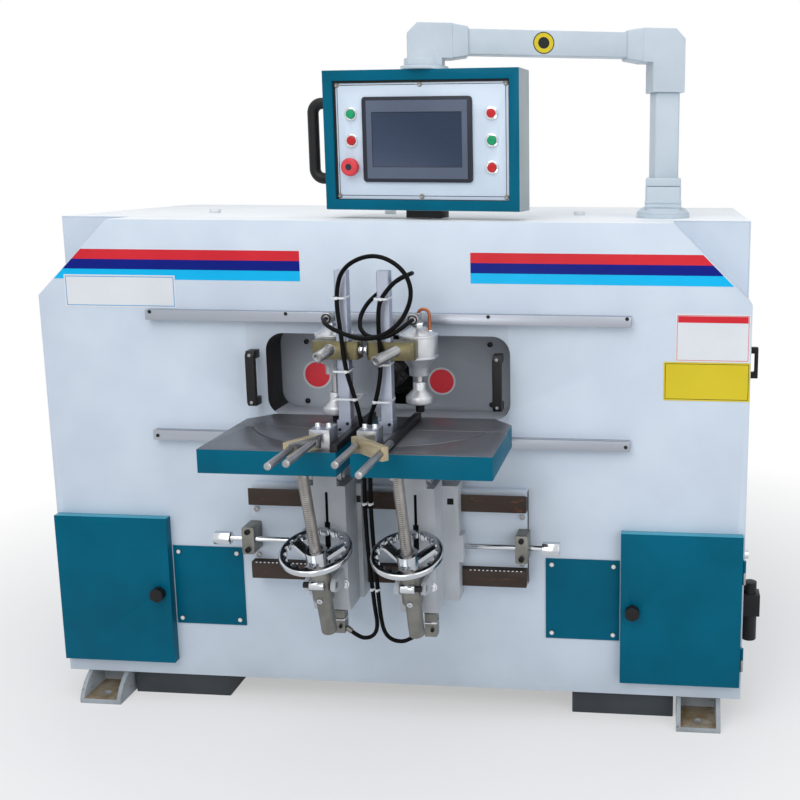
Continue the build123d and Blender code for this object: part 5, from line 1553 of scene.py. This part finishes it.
@dataclass
class Boom:
    """Control boom: base on the roof, post, elbow, arm and head."""

    post: Point = (0.604, FRONT + 0.244, 0)
    head: Point = (0.075, FRONT + 0.106, 0)
    arm_z: float = 1.529
    arm_half: float = 0.027
    disc_share: float = 0.521
    disc: Rings = ((0, 0.0235), (0.0008, 0.0235), (0.0008, 0.0215), (0.001, 0.0215), (0.001, 0.0125),
                   (0.0012, 0.0125))
    socket: Span = (0.060, 0.096)
    socket_half: float = 0.0368
    socket_taper: float = 0.86
    base_top: float = 1.214
    base_height: float = 0.062
    skirt: Rings = ((0, 0.0615), (0.003, 0.0615), (0.013, 0.050))
    band_half: float = 0.0425
    band_height: float = 0.007
    cap_half: float = 0.0405

    def build(self) -> None:
        """Dress the boom's pieces."""
        cad_copy("boom_base", BOOM, 0.002)
        cad_copy("boom_tubes", BOOM, 0.002)
        cad_copy("boom_castings", BOOM, 0.006, segments=4)
        start, end = self.socket
        self.arm_socket("post", start, end)
        self.arm_socket("head", self.run.length - start, self.run.length - end)
        spot = (self.run.length * self.disc_share, self.arm_half, self.arm_z)
        turned("arm_disc", spot, BACK, self.disc, BLACK, "boom", edge=0, sides=48, matrix=self.matrix,
               faces=[(FILM_YELLOW, self.in_ring)])
        self.collar()

    @property
    def run(self) -> Vector:
        """Way from the post to the head."""
        return Vector(self.head) - Vector(self.post)

    @property
    def matrix(self) -> Matrix:
        """Frame of the boom: x along the arm from post to head, y out to its front, z up."""
        along, up = self.run.normalized(), Vector(UP)
        return Matrix.Translation(self.post) @ Matrix((along, up.cross(along), up)).transposed().to_4x4()

    def in_ring(self, centre: Vector, normal: Vector) -> bool:
        """Tell whether a face belongs to the yellow ring of the plain disc on the arm.

        Args:
            centre: The face's centre.
            normal: The face's normal, not used.

        Returns:
            True for a face of the ring.
        """
        spot = self.matrix.inverted() @ centre
        away = math.hypot(spot.x - self.disc_share * self.run.length, spot.z - self.arm_z)
        return 0.0126 < away < 0.0214 and spot.y > self.arm_half + 0.00095

    def arm_socket(self, name: str, start: float, end: float) -> None:
        """Draw an elbow's casting out along the arm, tapered towards its mouth.

        Args:
            name: Which end of the arm.
            start: Distance from the post where it leaves the elbow.
            end: Distance from the post of its mouth.
        """
        thick, taper = 2 * self.socket_half, self.socket_taper
        piece = block(((start + end) / 2, 0, self.arm_z), (abs(end - start), thick, thick))
        pick(piece, "VERT", lambda vertex: abs(vertex.co.x - end) < 0.001)
        bpy.ops.transform.resize(value=(1, taper, taper))
        settle(piece, f"arm_socket.{name}", BOOM, "boom", 0.003, self.matrix, segments=3)

    def collar(self) -> None:
        """Set the skirt and the two bands on the boom's base, and the cap that turns with the post."""
        x, y, _ = self.post
        foot = self.base_top - self.base_height
        turned("boom_skirt", (x, y, foot - 0.0002), UP, self.skirt, BOOM, "cabinet", edge=0.001, sides=56)
        half = self.band_half
        for name, low in (("low", foot + 0.013), ("top", foot + 0.023)):
            cuboid(f"boom_band.{name}", (x - half, y - half, low),
                   (x + half, y + half, low + self.band_height), BOOM, "cabinet", 0.0025, segments=3)
        half = self.cap_half
        cuboid("boom_cap", (x - half, y - half, self.base_top + 0.0006),
               (x + half, y + half, self.base_top + 0.020), BOOM, "boom", 0.003, segments=3)


@dataclass
class ControlPanel:
    """Control panel with its touch screen, buttons and grip, in its own frame."""

    centre: Point = (0.075, FRONT + 0.106, 1.315)
    yaw: float = 8.0
    case: Point = (0.228, 0.153, 0.040)
    neck_z: float = 1.4683
    plug_z: float = 1.1617
    face_z: float = 0.032
    face_half: Span = (0.2045, 0.1295)
    face_inset: float = 0.008
    # Widths of the black strips inside the case's front frame, widest at the top and left: a painted shadow
    seal: tuple[float, ...] = (0.005, 0.001, 0.0045, 0.002)
    line: float = 0.0014
    screw: Rings = ((0, 0.0055), (0.0012, 0.0055), (0.0024, 0.004), (0.0016, 0.0026))
    screen: Span = (-0.008, 0.002)
    screen_half: Span = (0.1177, 0.085)
    screen_band: tuple[float, ...] = (0.0125, 0.0248, 0.0248, 0.0125)
    glass_z: float = 0.037
    bezel_z: float = 0.038
    column: float = 0.164
    rows: Point = (0.058, 0.0, -0.058)
    lens: Span = (0.0102, 0.0362)
    stop_top: float = 0.055
    inlay: Rings = ((0, 0.0072), (0.0006, 0.0072), (0.0006, 0.0058), (0.0003, 0.0056))
    grip_padding: float = 0.0028

    @property
    def matrix(self) -> Matrix:
        """Frame of the panel: x to the right, y up, z towards the operator."""
        turn = Matrix.Rotation(math.radians(-self.yaw), 4, "Z") @ Matrix.Rotation(math.radians(90), 4, "X")
        return Matrix.Translation(self.centre) @ turn

    def build(self) -> None:
        """Make the case, the face with its lines and screws, the screen, the grip and the buttons."""
        self.shell()
        grip = cad_copy("panel_handle", BLACK, 0)
        apply_modifier(grip, "DISPLACE", strength=self.grip_padding, mid_level=0)
        for node, finish in (("start_button", GREEN), ("stop_button", RED), ("emergency_stop", STOP_RED),
                             ("light_button", GREEN), ("reset_button", RED)):
            cad_copy(node, finish, 0.0012, segments=3)
        turned("stop_inlay", (-self.column, self.rows[2], self.stop_top - 0.0002), UP, self.inlay, HMI,
               "emergency_stop", edge=0.0001, sides=40, matrix=self.matrix)
        x, y = self.face_half
        inset = self.face_inset
        # Black strips round the face plate paint the shadow that the frame casts, widest at the top and left
        self.strips("face_seal", (-x, -y), (x, y), self.seal, self.face_z, 0.0022, BLACK)
        self.strips("face_line", (inset - x, inset - y), (x - inset, y - inset), (self.line,) * 4,
                    self.face_z, 0.0002, BLACK)
        (x, y), (wide, high) = self.screen, self.screen_half
        self.strips("screen_band", (x - wide, y - high), (x + wide, y + high), self.screen_band,
                    self.bezel_z, 0.0003, HMI_BAND)
        self.screws()

    def shell(self) -> None:
        """Dress the case with its shell in a darker copy of the neck's grey as painted shade, its neck and
        plug, the face with its lamp, and the screen.
        """
        inverse = self.matrix.inverted()
        level = inverse.to_3x3()
        lamp = Vector((self.column, self.rows[0]))

        def on_shell(centre: Vector, normal: Vector) -> bool:
            """Tell whether a face belongs to the case behind its front frame.

            Args:
                centre: The face's centre.
                normal: The face's normal.

            Returns:
                True for a face of the grey shell.
            """
            spot, (wide, high, deep) = inverse @ centre, self.case
            outside = abs(spot.x) > wide - 0.0005 or abs(spot.y) > high - 0.0005
            return (level @ normal).z < 0.5 and (outside or spot.z < 0.0005 - deep)

        def on_lamp(centre: Vector, normal: Vector) -> bool:
            """Tell whether a face belongs to the lamp's lens."""
            spot = inverse @ centre
            return (spot.xy - lamp).length < self.lens[0] and spot.z > self.lens[1]

        def on_bezel(centre: Vector, normal: Vector) -> bool:
            """Tell whether a face stands proud of the face plate, as the lamp's bezel does."""
            return (inverse @ centre).z > self.face_z + 0.0002

        def on_glass(centre: Vector, normal: Vector) -> bool:
            """Tell whether a face belongs to the display."""
            return abs((inverse @ centre).z - self.glass_z) < 0.0002 and (level @ normal).z > 0.9

        # The case's sides and back are painted in the darker grey as shade
        cad_copy("panel_case", TEAL, 0.0015, [
            (BOOM_SHADED, on_shell), (BOOM, within(z=above(self.neck_z))), (BLACK, within(z=below(self.plug_z))),
        ])
        cad_copy("panel_face", FACE, 0.0006, [(CHROME, on_bezel), (RED, on_lamp)])
        cad_copy("touch_screen", HMI, 0.001, [(SCREEN, on_glass)])

    def strips(
        self, name: str, low: Span, high: Span, widths: Sequence[float], base: float, height: float,
        finish: Finish,
    ) -> None:
        """Lay four flat strips that make a frame on the panel.

        Args:
            name: Name of the frame.
            low: Its lower left corner.
            high: Its upper right corner.
            widths: Widths of the left, lower, upper and right strip.
            base: Height of the surface under it.
            height: Thickness of the strips.
            finish: Their finish.
        """
        left, under, over, right = widths
        for place, a, b in (
            ("top", (low[0], high[1] - over), high), ("low", low, (high[0], low[1] + under)),
            ("left", (low[0], low[1] + under), (low[0] + left, high[1] - over)),
            ("right", (high[0] - right, low[1] + under), (high[0], high[1] - over)),
        ):
            cuboid(f"{name}.{place}", (*a, base - 0.0001), (*b, base + height), finish, "panel", 0,
                   self.matrix)

    def screws(self) -> None:
        """Set the six screws that hold the face."""
        x, y = self.face_half
        inset = self.face_inset
        for column, across in (("left", inset - x), ("middle", 0.0), ("right", x - inset)):
            for row, up in (("top", y - inset - 0.0005), ("low", inset - y)):
                turned(f"face_screw.{column}.{row}", (across, up, self.face_z), UP, self.screw, TUBE, "panel",
                       edge=0.0002, sides=24, matrix=self.matrix)


@dataclass
class Services:
    """Air unit at the side, dust spigot and cable gland at the back."""

    def build(self) -> None:
        """Dress the service pieces."""
        cad_copy("air_unit", BLACK, 0.0015, segments=3)
        cad_copy("rear_ports", STEEL, 0.001)


@dataclass
class Studio:
    """Pale floor, soft light, white background and the camera of the photograph.

    Attributes:
        eye: Place of the camera.
        yaw: Its turn to the left, in degrees.
        pitch: Its tilt downwards, in degrees.
        roll: Its turn about its own axis, in degrees.
        lens: Focal length for a sensor of the given width, in millimetres.
        sensor: Width of the sensor, in millimetres.
        shift: Place of the lens axis in the picture.
        lamps: Name, place, aim, size and power of each soft box.
        floor_size: Width of the floor.
        floor_fade: Distances between which the floor turns white.
    """

    eye: Point = (0.6174, -2.6574, 1.2681)
    yaw: float = 4.96
    pitch: float = 10.07
    roll: float = 0.16
    lens: float = 47.475
    sensor: float = 36.0
    shift: Span = (-0.22, -0.0625)
    lamps: tuple[tuple[str, Point, Point, float, float], ...] = (
        ("key", (-0.9, -3.2, 3.4), (0, -0.4, 0.7), 2.6, 55),
        ("fill", (2.6, -2.8, 2.0), (0, -0.4, 0.7), 2.4, 26),
        ("top", (0.2, -0.6, 4.0), (0, -0.3, 0.6), 3.0, 34),
        ("window", (0.0, -2.6, 0.75), (0, -0.3, 0.79), 0.5, 3),
    )
    floor_size: float = 60.0
    floor_fade: Span = (0.9, 2.0)

    def build(self) -> None:
        """Set up everything around the machine."""
        self.floor()
        self.sky()
        for name, spot, aim, size, power in self.lamps:
            data = bpy.data.lights.new(name, "AREA")
            data.energy = power
            data.size = size
            lamp = link(data, name)
            lamp.location = spot
            lamp.rotation_euler = (Vector(aim) - Vector(spot)).to_track_quat("-Z", "Y").to_euler()
        self.camera()
        bpy.context.scene.view_settings.view_transform = "Standard"

    def seen(self, tree: Tree) -> Socket:
        """Tell camera rays, and those that metal and glass send on, from the light's own.

        Args:
            tree: Node tree that gets the nodes.

        Returns:
            Socket that is 1 for such rays.
        """
        path = add_node(tree, "ShaderNodeLightPath").outputs
        bent = add_node(
            tree, "ShaderNodeMath", {0: path["Is Glossy Ray"], 1: path["Is Transmission Ray"]},
            operation="MAXIMUM",
        )
        return add_node(
            tree, "ShaderNodeMath", {0: path["Is Camera Ray"], 1: bent.outputs[0]}, operation="MAXIMUM"
        ).outputs[0]

    def floor(self) -> None:
        """Lay the pale floor, shaded near the machine and white further off."""
        begin()
        bpy.ops.mesh.primitive_plane_add(size=self.floor_size)
        ground = bpy.context.object
        ground.name = "floor"
        made = bpy.data.materials.new("pale_floor")
        made.use_nodes = True
        tree = made.node_tree
        shader = tree.nodes["Principled BSDF"]
        shader.inputs["Base Color"].default_value = linear("#E6E7E9")
        shader.inputs["Roughness"].default_value = 0.9
        shader.inputs["Specular IOR Level"].default_value = 0.1
        place = add_node(tree, "ShaderNodeTexCoord").outputs["Object"]
        away = add_node(tree, "ShaderNodeVectorMath", {0: place}, operation="LENGTH").outputs["Value"]
        near, far = self.floor_fade
        share = add_node(
            tree, "ShaderNodeMapRange",
            {"Value": away, "From Min": near, "From Max": far, "To Min": 0.45, "To Max": 1.0},
        )
        factor = add_node(
            tree, "ShaderNodeMath", {0: share.outputs[0], 1: self.seen(tree)}, operation="MULTIPLY"
        )
        white = add_node(tree, "ShaderNodeEmission", {"Color": linear("#FFFFFF"), "Strength": 1.0})
        both = add_node(
            tree, "ShaderNodeMixShader", {0: factor.outputs[0], 1: shader.outputs[0], 2: white.outputs[0]}
        )
        tree.links.new(both.outputs[0], tree.nodes["Material Output"].inputs["Surface"])
        ground.data.materials.append(made)

    def sky(self) -> None:
        """Light from all round, and a white background to the camera and in reflections."""
        world = bpy.context.scene.world or bpy.data.worlds.new("studio")
        bpy.context.scene.world = world
        world.use_nodes = True
        tree = world.node_tree
        tree.nodes.clear()
        glow = add_node(tree, "ShaderNodeBackground", {"Color": linear("#F2F6FB"), "Strength": 0.48})
        white = add_node(tree, "ShaderNodeBackground", {"Color": linear("#FFFFFF"), "Strength": 1.0})
        both = add_node(
            tree, "ShaderNodeMixShader", {0: self.seen(tree), 1: glow.outputs[0], 2: white.outputs[0]}
        )
        add_node(tree, "ShaderNodeOutputWorld", {"Surface": both.outputs[0]})

    def camera(self) -> None:
        """Stand the camera where the photograph was taken."""
        data = bpy.data.cameras.new("camera")
        data.sensor_width = self.sensor
        data.lens = self.lens
        data.shift_x, data.shift_y = self.shift
        eye = link(data, "camera")
        yaw, pitch = math.radians(self.yaw), math.radians(self.pitch)
        ahead = Vector((-math.sin(yaw) * math.cos(pitch), math.cos(yaw) * math.cos(pitch), -math.sin(pitch)))
        turn = ahead.to_track_quat("-Z", "Y").to_matrix().to_4x4()
        lean = Matrix.Rotation(math.radians(self.roll), 4, "Z")
        eye.matrix_world = Matrix.Translation(self.eye) @ turn @ lean
        bpy.context.scene.camera = eye


def main() -> None:
    """Build the machine's sub-assemblies in order, then the studio."""
    logging.basicConfig(level=logging.INFO, format="%(message)s")
    assemblies = [Cabinet(), Guard(), SlideBed(), SpindleUnit(), Boom(), ControlPanel(), Services()]
    for side in Side:
        assemblies += [Station(side), AirHose(side)]
    for assembly in assemblies:
        assembly.build()
        LOG.info("%s done", type(assembly).__name__)
    Studio().build()
    begin()
    bpy.context.view_layer.update()


if __name__ == "__main__":
    main()
